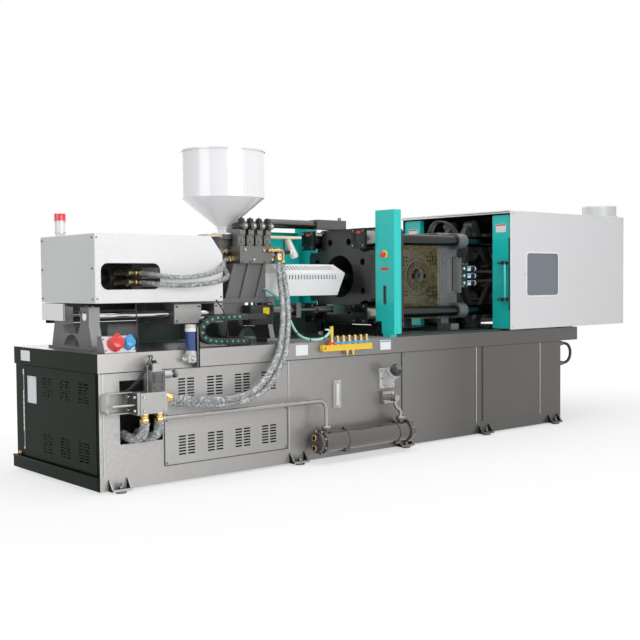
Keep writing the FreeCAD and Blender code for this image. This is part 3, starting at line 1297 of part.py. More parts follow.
def make_injection_cover():
    """Folded sheet cover with a sloping front corner and a rounded side window."""
    low_x, high_x = left + d.cover_from, left + d.cover_end
    length, height = high_x - low_x, d.cover_high - d.cover_low
    body = new_body("cover_box", low_x, d.cover_half, d.cover_low, FRONT_WALL)
    outline = new_sketch(body, "Side")
    draw_outline(outline, [(0, 0), (length, 0), (length, height - d.cover_chamfer * 1.3),
                           (length - d.cover_chamfer, height), (0, height)])
    pad(body, outline, 2 * d.cover_half)
    gap = d.injection_sheet
    inner = new_body("cover_space", low_x + gap, d.cover_half - gap, d.cover_low - 1, FRONT_WALL)
    inside = new_sketch(inner, "Inside")
    reach = length - gap + 1
    draw_outline(inside, [(0, 0), (reach, 0), (reach, height - d.cover_chamfer * 1.3),
                          (reach - d.cover_chamfer - 1, height - gap), (0, height - gap)])
    pad(inner, inside, 2 * (d.cover_half - gap))
    window = new_body("cover_window", low_x + d.port_from, -d.cover_half + 20, d.port_low,
                      FRONT_WALL)
    opening = new_sketch(window, "Opening")
    draw_rounded(opening, 0, 0, d.port_length, d.port_high - d.port_low, d.port_corner)
    pad(window, opening, 40)
    feet = [block("cover_foot", (left + x, left + x + 60), (way * 150 - 20, way * 150 + 20),
                  (d.rod_height + d.bearing_height / 2 + d.saddle_height - 4, d.cover_high - 3))
            for x in (860,) for way in (-1, 1)]
    shell = cut("cover_shell", body, inner, window)
    subpart("injection_cover", fuse("injection_cover", shell, *feet))


def make_warning_lamp():
    centre = (left + d.lamp_x, d.lamp_y)
    top = d.cover_high + d.lamp_height
    subpart("warning_lamp", fuse(
        "warning_lamp",
        rod("lamp_base", "Z", (d.cover_high, d.cover_high + 22), centre, d.lamp_radius - 4),
        rod("lamp_body", "Z", (d.cover_high + 21, top - 48), centre, d.lamp_radius),
        rod("lamp_lens", "Z", (top - 48, top), centre, d.lamp_radius + 2)))


def make_barrel_guard():
    """Perforated eight-sided guard round the barrel with a slanted nozzle end."""
    low_x = left + d.barrel_guard_from
    length = d.barrel_guard_tip - d.barrel_guard_from
    half, top_half = d.barrel_guard_half, d.barrel_guard_half - 85
    low, fold, top = d.barrel_guard_bottom, d.barrel_guard_fold, d.barrel_guard_top

    def profile(gap):
        return [(0, -half + gap, low + gap), (0, half - gap, low + gap),
                (0, half - gap, fold - gap * 0.4), (0, top_half - gap * 0.6, top - gap),
                (0, -top_half + gap * 0.6, top - gap), (0, -half + gap, fold - gap * 0.4)]

    skin = prism(profile(0), Vector(low_x, 0, 0), Vector(length, 0, 0))
    space = prism(profile(d.barrel_guard_sheet), Vector(low_x - 1, 0, 0),
                  Vector(length - d.barrel_guard_sheet + 1, 0, 0))
    tip = left + d.barrel_guard_tip
    trims = [
        prism([(tip - 78, 0, low - 1), (tip + 1, 0, low - 1), (tip + 1, 0, fold),
               (tip, 0, fold)], Vector(0, -half - 1, 0), Vector(0, 2 * half + 2, 0)),
        prism([(tip, 0, fold), (tip + 1, 0, fold), (tip + 1, 0, top + 1),
               (tip - 45, 0, top + 1)], Vector(0, -half - 1, 0), Vector(0, 2 * half + 2, 0)),
    ]
    skin = skin.cut(space)
    for trim in trims:
        skin = skin.cut(trim)
    slots = []
    count = int(d.guard_slots)
    slot_from = tip - 100 - (count - 1) * d.guard_slot_pitch
    slot_z = fold - 14 - d.guard_slot_height
    for index in range(count):
        x = slot_from + index * d.guard_slot_pitch
        slots.append(cuboid((x, x + d.guard_slot_width), mirrored_pair(half + 1),
                            (slot_z, slot_z + d.guard_slot_height)))
        slots.append(cuboid((x, x + d.guard_slot_width), mirrored_pair(half - 20),
                            (fold + 22, fold + 22 + d.guard_slot_height)))
    nozzle_hole = round_bar("X", (tip - 120, tip + 2), (0, axis_z), d.heater_radius + 4)
    skin = skin.cut(Part.makeCompound(slots)).cut(nozzle_hole)
    subpart("barrel_guard", feature("barrel_guard", skin))


def make_hopper():
    """Spun hopper: rolled rim, drum, cone, neck and square foot flange."""
    body = new_body("hopper", hopper_x, 0, 0)
    sketch = new_sketch(body, "Wall", "XZ_Plane")
    outer, neck, skin = d.hopper_radius, d.outlet_radius, d.hopper_sheet
    foot = d.hopper_outlet - d.neck_length
    draw_outline(sketch, [
        (neck - skin, foot), (d.flange_radius, foot), (d.flange_radius, foot + 10),
        (neck, foot + 10), (neck, d.hopper_outlet), (outer, d.hopper_shoulder),
        (outer, d.hopper_top - 12), (outer + 5, d.hopper_top - 12), (outer + 5, d.hopper_top),
        (outer - skin, d.hopper_top), (outer - skin, d.hopper_shoulder + 1),
        (neck - skin, d.hopper_outlet + 1),
    ])
    spin = body.newObject("PartDesign::Revolution", "Spin")
    spin.Profile = sketch
    spin.ReferenceAxis = (sketch, ["V_Axis"])
    spin.Angle = 360
    subpart("hopper", body)


def make_hopper_gate():
    """Long shut-off plate under the hopper with its drop hole and hanging handle."""
    low_x = left + d.gate_from
    top = d.hopper_outlet - d.neck_length - d.part_gap
    plate = cuboid((low_x, low_x + d.gate_length), mirrored_pair(d.gate_half),
                   (top - d.gate_thickness, top))
    hole = round_bar("Z", (top - d.gate_thickness - 1, top + 1), (hopper_x, 0), d.gate_hole)
    end = low_x + d.gate_length - 60
    handle = Part.makeCone(17, 26, 140, Vector(end - 50, -30, top - d.gate_thickness + 2),
                           Vector(0.5, 0, -1))
    subpart("hopper_gate", feature("hopper_gate", plate.cut(hole).fuse(handle)))


def make_injection_manifold():
    """Steel manifold with five solenoid valves on top and hose elbows at its ends."""
    low_x = left + d.manifold_from
    high_x = low_x + d.manifold_length
    front_y = -d.manifold_front
    back_y = front_y + d.manifold_depth
    low, high = d.manifold_bottom, d.manifold_bottom + d.manifold_height
    pieces = [cuboid((low_x, high_x), (front_y, back_y), (low, high))]
    pitch = float(d.manifold_length) / 4
    for index in range(4):
        x = low_x + pitch * (index + 0.5)
        pieces.append(cuboid((x - 30, x + 30), (front_y + 34, front_y + 100), (high - 1, high + 78)))
        pieces.append(cuboid((x - 24, x + 24), (front_y + 20, front_y + 110),
                             (high + 77, high + 118)))
        pieces.append(round_bar("Y", (front_y - 14, front_y + 120), (x, high + 138), 23))
    for points in (UPPER_MOTOR_HOSE, LOWER_MOTOR_HOSE):
        x, y, z = points[-1]
        pieces.append(round_bar("X", (x, low_x + 1), (y, z), 19))
    for points in (PRESSURE_HOSE, RETURN_HOSE):
        mouth = Vector(*points[-1])
        way = (mouth - Vector(*points[-2])).normalize()
        pieces.append(Part.makeCylinder(22, 104, mouth, way))
        top = mouth + way * 90
        pieces.append(round_bar("X", (high_x - 1, top.x + 14), (top.y, top.z), 20))
    pieces.append(round_bar("X", (high_x - 1, high_x + 96), (back_y - 28, high - 34), 27))
    bridge = cuboid((low_x + 40, high_x - 30), (back_y - 1, -54), (low + 10, high - 10))
    seat = cuboid((low_x + 30, high_x - 40), (-d.feed_width / 2 - 20, back_y), (d.feed_top, low + 1))
    seats = line_solids([(UPPER_MOTOR_HOSE, d.motor_hose_radius),
                         (LOWER_MOTOR_HOSE, d.motor_hose_radius)])
    subpart("injection_manifold",
            feature("injection_manifold", fused(pieces + [bridge, seat]).cut(seats)))


def make_terminal_box():
    low_x = left + d.terminal_from
    front_y = -d.terminal_front
    box = block("terminal_case", (low_x, low_x + d.terminal_length),
                (front_y, front_y + d.terminal_depth),
                (d.terminal_low, d.terminal_low + d.terminal_height))
    arm_z = d.rod_height - d.bearing_height / 2 + 30
    bracket = block("terminal_bracket", (low_x + 20, low_x + 120),
                    (front_y + d.terminal_depth - 1, -rod_y - d.stand_block / 2 + 20),
                    (arm_z + 6, arm_z + 40))
    chain_x, chain_z = CHAIN_PATH[0]
    arm = block("chain_arm", (chain_x, low_x + 1), (CHAIN_Y, CHAIN_Y + 12),
                (chain_z - 18, chain_z + 18))
    reach = block("chain_reach", (low_x - 10, low_x + 40), (CHAIN_Y, front_y + 1),
                  (chain_z - 18, chain_z + 18))
    end = block("chain_end", (chain_x, chain_x + 12), (CHAIN_Y, CHAIN_Y + d.chain_width),
                (chain_z - 18, chain_z + 18))
    subpart("terminal_box", fuse("terminal_box", box, bracket, arm, reach, end))


def pull_line(way):
    """Y and Z of a carriage pull cylinder: low in front (-1), high at the back (1)."""
    return (way * d.pull_y, d.pull_low if way < 0 else d.pull_high)


def make_pull_cylinders():
    """Diagonal pair that pulls the carriage to the platen, as moving and fixed pieces."""
    y, z = pull_line(-1)
    feed_end = barrel_left + d.feed_length
    tube_from, tube_to = left + d.pull_tube_from, left + d.pull_tube_to
    saddle_low = d.rod_height + d.bearing_height / 2 - 4
    moving = [
        cuboid((tube_to - 40, tube_to), (y - 52, y + 52), (z - 52, z + 52)),
        round_bar("X", (tube_from, tube_to - 39), (y, z), d.pull_cylinder),
        cuboid((feed_end - 30, tube_from + 30), (y - 16, y + 20), (saddle_low, saddle_low + 30)),
        cuboid((tube_from + 2, tube_from + 30), (y - 16, y + 20), (z + 20, saddle_low + 30)),
    ]
    bore = round_bar("X", (tube_from + 10, tube_to - 24), (y, z), d.pull_cylinder - 8)
    gland = round_bar("X", (tube_to - 25, tube_to + 1), (y, z), d.pull_radius + d.rod_clearance)
    lower_moving = fused(moving).cut(bore).cut(gland)
    uy, uz = pull_line(1)
    leg_x = (feed_end - 100, feed_end - 60)
    rod_end = left + d.upper_tube_from + 70
    upper = [
        round_bar("X", (leg_x[0], rod_end), (uy, uz), d.pull_radius),
        round_bar("X", (rod_end - 26, rod_end), (uy, uz), d.pull_cylinder - 8 - d.rod_clearance),
        cuboid(leg_x, (84, 130), (d.feed_top, uz + 22)),
        cuboid(leg_x, (84, uy + 22), (uz - 22, uz + 22)),
    ]
    subpart("pull_cylinder_carriage_side",
            group("pull_cylinder_carriage_side", feature("lower_cylinder", lower_moving),
                  feature("upper_rod", fused(upper))))
    clevis = left + d.clevis_from
    fixed_lower = [
        round_bar("X", (tube_to - 40, clevis - 100), (y, z), d.pull_radius),
        round_bar("X", (clevis - 134, clevis + 1), (y, z), 24),
        cuboid((clevis, clevis + 30), (y - 36, y + 36), (z - 36, z + 36)),
        cuboid((clevis + 29, clevis + 117), (y - 36, y - 15), (z - 32, z + 32)),
        cuboid((clevis + 29, clevis + 117), (y + 15, y + 36), (z - 32, z + 32)),
        cuboid((clevis + 60, dish_face), (y - 14.5, y + 14.5), (z - 26, z + 26)),
        round_bar("Y", (y - 42, y + 42), (clevis + 88, z), 15),
    ]
    tube_from = left + d.upper_tube_from
    head_from = dish_face - 91
    tube = round_bar("X", (tube_from, head_from + 1), (uy, uz), d.pull_cylinder)
    head = cuboid((head_from, slab_back + 92), (uy - 50, uy + 50), (platen_low + d.platen_size, uz + 40))
    stem = round_bar("Z", (uz + 39, uz + 64), (slab_back + 66, uy), 14)
    tube_bore = round_bar("X", (tube_from + 20, head_from - 20), (uy, uz), d.pull_cylinder - 8)
    tube_gland = round_bar("X", (tube_from - 1, tube_from + 21), (uy, uz),
                           d.pull_radius + d.rod_clearance)
    fixed_upper = fused([tube, head, stem]).cut(tube_bore).cut(tube_gland)
    subpart("pull_cylinder_platen_side",
            group("pull_cylinder_platen_side", feature("lower_rod", fused(fixed_lower)),
                  feature("upper_cylinder", fixed_upper)))


# ---------------------------------------------------------------- oil, water and electrics

def make_oil_cooler():
    """Shell-and-tube cooler: shell, end flanges, port covers, nozzles and two saddles."""
    low_x = left + d.cooler_from
    high_x = low_x + d.cooler_length
    y, z = -d.cooler_y, d.cooler_z
    pieces = [round_bar("X", (low_x, high_x), (y, z), d.cooler_radius)]
    for x in (low_x + d.cooler_cap, high_x - d.cooler_cap):
        pieces.append(round_bar("X", (x - 11, x + 11), (y, z), d.cooler_flange))
    for x in (low_x + 250, high_x - 150):
        pieces.append(round_bar("X", (x - 9, x + 9), (y, z), d.cooler_radius + 4))
        pieces.append(cuboid((x - 22, x + 22), (y - 40, body_front), (z - 82, z - 50)))
        pieces.append(cuboid((x - 22, x + 22), (body_front - 10, body_front), (z - 82, z + 40)))
        pieces.append(cuboid((x - 22, x + 22), (y - 30, y + 30), (z - 82, z - 40)))
    for step in (-34, 34):
        pieces.append(round_bar("X", (low_x - 16, low_x + 1), (y, z + step), 24))
    for x in (low_x + d.nozzle_station, high_x - d.nozzle_station):
        pieces.append(round_bar("Z", (z, z + d.cooler_radius + 26), (x, y), 22))
        pieces.append(round_bar("Z", (z + d.cooler_radius + 14, z + d.cooler_radius + 26), (x, y),
                                34))
    cooler = fused(pieces)
    for step in (-34, 34):
        cooler = cooler.cut(round_bar("X", (low_x - 17, low_x + 20), (y, z + step), 15))
    subpart("oil_cooler", feature("oil_cooler", cooler))


def make_cooler_pipes():
    """Bent steel pipes between the cooler, the valve block and the tank return flange."""
    y = -d.cooler_y
    top = d.cooler_z + d.cooler_radius + 26
    left_x = left + d.cooler_from + d.nozzle_station
    right_x = left + d.cooler_from + d.cooler_length - d.nozzle_station

    def flange(x):
        return round_bar("Z", (top, top + 14), (x, y), 34)

    bend_share = d.pipe_bend / (d.pipe_run_z - top)
    long_pipe = bent_tube([(left_x, y, top), (left_x, y, d.pipe_run_z),
                           (left + d.pipe_end, y, d.pipe_run_z)], d.pipe_radius, bend_share)
    block_x = (left + d.return_from, left + d.return_from + d.return_width)
    block_z = (d.return_low, d.return_low + d.return_height)
    mid_x, mid_z = (block_x[0] + block_x[1]) / 2, (block_z[0] + block_z[1]) / 2
    plate = cuboid(block_x, (body_front - 32, body_front), block_z)
    elbow = round_bar("Y", (y - 24, body_front - 30), (mid_x, mid_z), 24)
    short_pipe = bent_tube([(mid_x, y, mid_z), (mid_x, y, mid_z - 60),
                            (right_x, y, top + 56), (right_x, y, top)], d.pipe_radius)
    subpart("cooler_pipes", group(
        "cooler_pipes", feature("long_pipe", fused([long_pipe, flange(left_x)])),
        feature("return_pipe", fused([plate, elbow, short_pipe, flange(right_x)]))))


def make_lower_valve_block():
    """Pump outlet block on its folded bracket, with pilot valves, relief valve and ports."""
    low_x = left + d.block_from
    high_x = low_x + d.block_length
    y = (-d.block_front, -d.block_front + d.block_depth)
    low, high = d.block_low, d.block_low + d.block_height
    pieces = [cuboid((low_x, high_x), y, (low, high)),
              cuboid((low_x - 18, low_x), (y[0] + 6, y[1] + 10), (low - 4, high + 4))]
    bracket_low = low_x - 18 - d.bracket_length
    outer = cuboid((bracket_low, low_x - 17), (body_front - d.bracket_depth, body_front),
                   (low + 4, high + 6))
    corner_edges = [edge for edge in outer.Edges
                    if edge.Vertexes[0].X < bracket_low + 1 and edge.Vertexes[-1].X < bracket_low + 1
                    and abs(edge.Vertexes[0].Y - edge.Vertexes[-1].Y) > 1]
    outer = outer.makeFillet(30, corner_edges)
    inner = cuboid((bracket_low + 20, low_x - 18), (body_front - d.bracket_depth - 1,
                                                    body_front - 4), (low + 10, high))
    pieces.append(outer.cut(inner))
    pieces.append(cuboid((low_x - 20, high_x - 20), (y[1] - 1, body_front), (low + 10, high - 20)))
    pieces.append(round_bar("X", (bracket_low + 18, low_x), (y[0] + 30, (low + high) / 2 - 6), 7))
    stack_x = high_x - 96
    pieces.append(cuboid((stack_x, high_x - 6), (y[0] + 14, y[0] + 104), (high - 1, high + 122)))
    pieces.append(cuboid((stack_x + 14, high_x - 20), (y[0] + 24, y[0] + 94),
                         (high + 121, high + 165)))
    pieces.append(round_bar("X", (high_x - 7, high_x + 58), (y[0] + 60, high + 94), 23))
    pieces.append(Part.makeCone(18, 8, 46, Vector(high_x + 57, y[0] + 60, high + 94),
                                Vector(1, 0, 0)))
    pieces.append(round_bar("X", (high_x - 7, high_x + 16), (y[0] + 56, high + 24), 11))
    for x in (low_x + 48, high_x - 34):
        pieces.append(round_bar("Z", (low - 62, low + 1), (x, -d.cooler_y), 15))
        pieces.append(round_bar("Z", (low - 28, low - 8), (x, -d.cooler_y), 21))
    pieces.append(round_bar("X", (high_x - 34, left + d.pipe_end), (-d.cooler_y, d.pipe_run_z),
                            19))
    for points in (PRESSURE_HOSE, RETURN_HOSE):
        x, yy, zz = points[0]
        pieces.append(round_bar("X", (high_x - 1, x), (yy, zz), 18))
    seats = line_solids([(PRESSURE_HOSE, d.hose_radius), (RETURN_HOSE, d.hose_radius)]
                        + gauge_lines())
    subpart("lower_valve_block", feature("lower_valve_block", fused(pieces).cut(seats)))


def make_filler():
    """Cast filler neck leaning outwards on its flange, and its screw cap."""
    size = d.filler_size
    low_x = left + d.filler_from
    centre_x, centre_z = low_x + size / 2, d.filler_low + size / 2
    plate = cuboid((low_x, low_x + size), (body_front - 12, body_front),
                   (d.filler_low, d.filler_low + size))
    tilt = math.radians(d.filler_tilt_deg)
    way = Vector(0, -math.cos(tilt), math.sin(tilt))
    root = Vector(centre_x, body_front - 2, centre_z - 26)
    neck = Part.makeCone(d.neck_radius + 14, d.neck_radius, d.neck_reach, root, way)
    trim = cuboid((low_x - 60, low_x + size + 60), (body_front, body_front + 200),
                  (d.filler_low - 100, d.filler_low + size + 100))
    bore = Part.makeCylinder(d.neck_radius - 8, d.neck_reach + 2, root, way)
    neck_shape = fused([plate, neck.cut(trim)]).cut(bore)
    subpart("filler_neck", feature("filler_neck", neck_shape))
    seat = root + way * (d.neck_reach + d.part_gap)
    shapes = [Part.makeCylinder(d.cap_radius, d.cap_height - 14, seat, way),
              Part.makeCone(d.cap_radius, d.cap_radius - 16, 14, seat + way * (d.cap_height - 14),
                            way)]
    plug = Part.makeCylinder(d.neck_radius - 10, 24, seat - way * 20, way)
    subpart("filler_cap", feature("filler_cap", fused(shapes + [plug])))
    axis = seat + way * 10
    print(f"filler cap axis at {axis.x:.2f} {axis.y:.2f} {axis.z:.2f} along "
          f"{way.x:.4f} {way.y:.4f} {way.z:.4f}")


def make_level_gauge():
    low_x = left + d.gauge_from
    z = (d.gauge_low, d.gauge_low + d.gauge_height)
    frame = block("gauge_frame", (low_x, low_x + d.gauge_width), (body_front - 14, body_front), z)
    glass = block("gauge_glass", (low_x + 14, low_x + d.gauge_width - 14),
                  (body_front - 20, body_front - 13), (z[0] + 18, z[1] - 18))
    subpart("level_gauge", fuse("level_gauge", frame, glass))


def make_water_manifold():
    """Cooling-water bar with seven stemmed outlets, lever handles and two inlet stubs."""
    low_x = left + d.water_from
    high_x = low_x + d.water_length
    y, z = front - d.water_radius - 4, d.water_z
    pieces = [cuboid((low_x + 30, high_x), (y - d.water_radius, y + d.water_radius),
                     (z - d.water_radius, z + d.water_radius)),
              round_bar("Y", (y - 16, y + 16), (low_x + 24, z), 24)]
    first = low_x + 96
    for index in range(int(d.water_outlets)):
        x = first + index * d.water_pitch
        pieces.append(round_bar("Z", (z + d.water_radius - 1, d.water_stem_top), (x, y),
                                d.water_stem))
        pieces.append(round_bar("Z", (z + d.water_radius - 1, z + d.water_radius + 26), (x, y), 14))
        pieces.append(cuboid((x - 44, x + 6), (y - 24, y - 14),
                             (z + d.water_radius + 8, z + d.water_radius + 18)))
        pieces.append(cuboid((x - 6, x + 6), (y - 16, y), (z + d.water_radius + 8,
                                                         z + d.water_radius + 18)))
    mouth = Vector(*WATER_HOSE[-1])
    way = (mouth - Vector(*WATER_HOSE[-2])).normalize()
    pieces.append(Part.makeCylinder(9.5, 24, mouth, way))
    pieces.append(round_bar("Z", (d.water_stem_top - 6, mouth.z + 34), (first, y), 13))
    for x in (first + 2.6 * d.water_pitch, first + 3.6 * d.water_pitch):
        pieces.append(round_bar("Z", (z - d.water_radius - 36, z - d.water_radius + 1), (x, y), 11))
    for x in (low_x + 60, high_x - 30):
        pieces.append(cuboid((x - 15, x + 15), (y + d.water_radius - 1, front),
                             (z - 16, z + 16)))
    body = fused(pieces)
    body = body.cut(round_bar("Y", (y - 20, y + 20), (low_x + 24, z), 7))
    subpart("water_manifold", feature("water_manifold", body))


def make_socket_box():
    """Sloping socket housing on the deck edge with two lidded sockets."""
    low_x = left + d.socket_from
    high_x = low_x + d.socket_length
    z0 = d.base_height
    corners = [(low_x, front + 4, z0), (low_x, front + d.socket_depth, z0),
               (low_x, front + d.socket_depth, z0 + d.socket_height),
               (low_x, front + 4 + d.socket_slope, z0 + d.socket_height)]
    case = prism(corners, Vector(0, 0, 0), Vector(d.socket_length, 0, 0))
    lean = math.atan2(float(d.socket_slope), float(d.socket_height))
    out = Vector(0, -math.cos(lean), math.sin(lean))
    middle = Vector(0, front + 4 + d.socket_slope / 2, z0 + d.socket_height / 2)
    pieces = [case]
    for x, radius, reach in ((low_x + 70, 37, 46), (low_x + 156, 30, 34)):
        start = Vector(x, middle.y, middle.z) - out * 4
        pieces.append(Part.makeCylinder(radius, reach, start, out))
        pieces.append(Part.makeCylinder(radius + 5, 9, start + out * reach, out))
    subpart("socket_box", feature("socket_box", fused(pieces)))


def make_grease_pump():
    """Grease cartridge in a clear holder over its cast pump foot on the beam."""
    x = left + d.pump_station
    y = front - d.cartridge_radius - 10
    low, top = d.cartridge_low, d.cartridge_top
    pieces = [
        round_bar("Z", (low, top - 30), (x, y), d.cartridge_radius - 2),
        round_bar("Z", (top - 31, top), (x, y), d.cartridge_radius + 2),
        round_bar("Z", (low - 20, low + 1), (x, y), d.cartridge_radius + 3),
        cuboid((x - 30, x + 30), (y - 22, front), (low - 66, low - 19)),
        round_bar("X", (x - 46, x + 46), (y, low - 46), 10),
    ]
    subpart("grease_pump", feature("grease_pump", fused(pieces)))


def make_operator_panel():
    """Fixed rear guard of the nozzle area that carries the operator's console."""
    low_x = left + d.panel_from
    high_x = low_x + d.panel_length
    y = d.guard_half_width - 44
    skin = block("panel_skin", (low_x, high_x), (y, d.guard_half_width),
                 (d.panel_low, d.panel_high))
    space = block("panel_space", (low_x + 3, high_x - 3), (y - 1, d.guard_half_width - 3),
                  (d.panel_low + 3, d.panel_high - 3))
    foot = block("panel_foot", (low_x + 30, high_x - 30), (half_width - 60, half_width - 8),
                 (d.base_height, d.panel_low + 40))
    mid = (low_x + high_x) / 2
    console = block("console", (mid - d.console_width / 2, mid + d.console_width / 2),
                    (d.guard_half_width - 3, d.guard_half_width + d.console_depth),
                    (d.panel_high - 60 - d.console_height, d.panel_high - 60))
    subpart("operator_panel", fuse("operator_panel", cut("panel_shell", skin, space), foot,
                                   console))


def make_pump_motor():
    """Electric motor and pump on one foot inside the base."""
    start = left + d.electric_from
    z = d.pad_height + d.wall + d.electric_radius + 40
    end = start + d.electric_length
    floor_z = d.pad_height + d.wall
    pieces = [
        round_bar("X", (start, end), (0, z), d.electric_radius),
        round_bar("X", (start - 60, start + 1), (0, z), d.electric_radius - 14),
        round_bar("X", (start - 60 - d.pump_length, start - 59), (0, z), d.pump_radius),
        cuboid((start + 60, end - 80), (-60, 60), (z + d.electric_radius - 12,
                                                  z + d.electric_radius + 60)),
        cuboid((start + 20, end - 20), (-d.electric_radius, d.electric_radius),
               (floor_z, floor_z + 16)),
        cuboid((start + 40, start + 70), (-100, 100), (floor_z, z)),
        cuboid((end - 70, end - 40), (-100, 100), (floor_z, z)),
    ]
    subpart("pump_motor", feature("pump_motor", fused(pieces)))


# ---------------------------------------------------------------- flexible lines

PRESSURE_HOSE = [
    (-2216, -680, 542), (-2100, -683, 526), (-1960, -688, 506), (-1805, -690, 495),
    (-1660, -690, 512), (-1535, -672, 556), (-1428, -648, 648), (-1338, -622, 762),
    (-1268, -562, 882), (-1184, -468, 1000), (-1116, -372, 1115), (-1072, -290, 1233),
    (-1041, -240, 1354)]
RETURN_HOSE = [
    (-2216, -625, 505), (-2095, -632, 492), (-1945, -640, 472), (-1790, -648, 462),
    (-1640, -658, 474), (-1502, -668, 518), (-1395, -654, 610), (-1299, -630, 731),
    (-1230, -574, 866), (-1140, -470, 985), (-1072, -372, 1100), (-1022, -286, 1218),
    (-987, -210, 1336)]
WATER_HOSE = [
    (-1130, -178, 1170), (-1122, -226, 1160), (-1097, -270, 1124), (-1066, -306, 1068),
    (-1056, -352, 1003), (-1066, -405, 938), (-1076, -462, 882), (-1072, -524, 842),
    (-1046, -584, 828), (-1003, -617, 826), (-952, -618, 838), (-908, -607, 858),
    (-882, -596, 878)]
CONTROL_CABLE = [
    (-1651, -363.9, 1104), (-1652, -404, 1066), (-1656, -452, 1036), (-1662, -482, 990),
    (-1659, -490, 925), (-1648, -488, 862), (-1642, -486, 810.7)]
SENSOR_CABLE = [
    (-2241, -359.5, 1096.3), (-2243, -366, 1040), (-2252, -390, 985), (-2266, -420, 930),
    (-2282, -446, 872), (-2292, -462, 811.2)]
UPPER_MOTOR_HOSE = [
    (-2150, -270, 1281), (-2123, -347, 1270), (-2079, -400, 1260), (-2019, -434, 1252),
    (-1935, -452, 1249), (-1845, -468, 1258), (-1754, -476, 1274), (-1673, -454, 1296),
    (-1610, -399, 1324), (-1575, -324, 1356), (-1575, -236, 1388), (-1546, -166, 1409),
    (-1493, -113, 1425), (-1423, -84, 1430)]
LOWER_MOTOR_HOSE = [
    (-2150, -270, 1221), (-2125, -342, 1213), (-2081, -395, 1207), (-2021, -429, 1202),
    (-1925, -447, 1200), (-1825, -465, 1207), (-1724, -476, 1219), (-1643, -454, 1237),
    (-1580, -399, 1263), (-1540, -306, 1300), (-1514, -225, 1334), (-1464, -165, 1360),
    (-1394, -130, 1374)]
PLATEN_HOSE = [
    (850, -262, 1360), (872, -246, 1432), (896, -212, 1502), (904, -176, 1578),
    (882, -146, 1644), (826, -120, 1694), (748, -102, 1704), (690, -92, 1664),
    (672, -86, 1600)]
PLATEN_HOSE_STEP = 24
END_CABLE = [(1792, -540, 674), (1862, -540, 674), (1912, -540, 624), (1912, -540, 554),
             (1862, -540, 504), (1792, -540, 504)]
GAUGE_WIRE = [(-2262, -569.7, 786), (-2276, -608, 784), (-2312, -648, 762), (-2356, -672, 716),
              (-2400, -674, 662), (-2436, -652, 616), (-2456, -618, 588)]
CHAIN_PATH = [(-1472, 993), (-1592, 996), (-1768, 990), (-1843, 918), (-1790, 840),
              (-1570, 837), (-1458, 832)]
CHAIN_Y = -456


def platen_lines():
    return [(moved(PLATEN_HOSE, -PLATEN_HOSE_STEP * index, 0, 0), d.platen_hose_radius)
            for index in range(3)]


def gauge_lines():
    return [(moved(GAUGE_WIRE, -16 * index, 0, 0), d.wire_radius) for index in range(2)]


def line_group(label, lines):
    tubes = [feature(label + "_line", bent_tube(points, radius)) for points, radius in lines]
    subpart(label, group(label, *tubes))


def make_hoses():
    """Flexible lines in their shape with the carriage back and the clamp open."""
    line_group("carriage_hoses", [
        (PRESSURE_HOSE, d.hose_radius), (RETURN_HOSE, d.hose_radius),
        (WATER_HOSE, d.water_hose_radius), (CONTROL_CABLE, d.wire_radius),
        (SENSOR_CABLE, d.wire_radius)])
    line_group("motor_hoses", [(UPPER_MOTOR_HOSE, d.motor_hose_radius),
                               (LOWER_MOTOR_HOSE, d.motor_hose_radius)])
    line_group("platen_hoses", platen_lines())
    line_group("fixed_cables", [(END_CABLE, d.cable_radius)] + gauge_lines())


def make_drag_chain():
    """Energy chain: one open link per pitch along its bent path."""
    corners = [Vector(x, 0, z) for x, z in CHAIN_PATH]
    edges, start = [], corners[0]
    for before, corner, after in zip(corners, corners[1:], corners[2:]):
        back, ahead = before - corner, after - corner
        reach = 0.45 * min(back.Length, ahead.Length)
        half_turn = (math.pi - back.getAngle(ahead)) / 2
        radius = reach / math.tan(half_turn)
        enter, leave = corner + back.normalize() * reach, corner + ahead.normalize() * reach
        way = (back + ahead).normalize()
        middle = corner + way * (radius / math.cos(half_turn) - radius)
        edges.append(Part.LineSegment(start, enter).toShape())
        edges.append(Part.Arc(enter, middle, leave).toShape())
        start = leave
    edges.append(Part.LineSegment(start, corners[-1]).toShape())
    path = Part.Wire(edges)
    count = int(path.Length // d.chain_pitch)
    points = path.discretize(count + 1)
    half = d.chain_height / 2
    links = []
    for here, there in zip(points, points[1:]):
        length = (there - here).Length - 2
        outer = cuboid((1, length), (CHAIN_Y, CHAIN_Y + d.chain_width), (-half, half))
        inner = cuboid((0, length + 1), (CHAIN_Y + 6, CHAIN_Y + d.chain_width - 6),
                       (-half + 5, half - 5))
        link = outer.cut(inner)
        for low in (CHAIN_Y - 1, CHAIN_Y + d.chain_width - 6):
            link = link.fuse(round_bar("Y", (low, low + 7), (length + 1, 0), 9))
        along = there - here
        turn = Rotation(Vector(0, 1, 0), -math.degrees(math.atan2(along.z, along.x)))
        link.Placement = Placement(here, turn)
        links.append(link)
    subpart("drag_chain", feature("drag_chain", fused(links)))


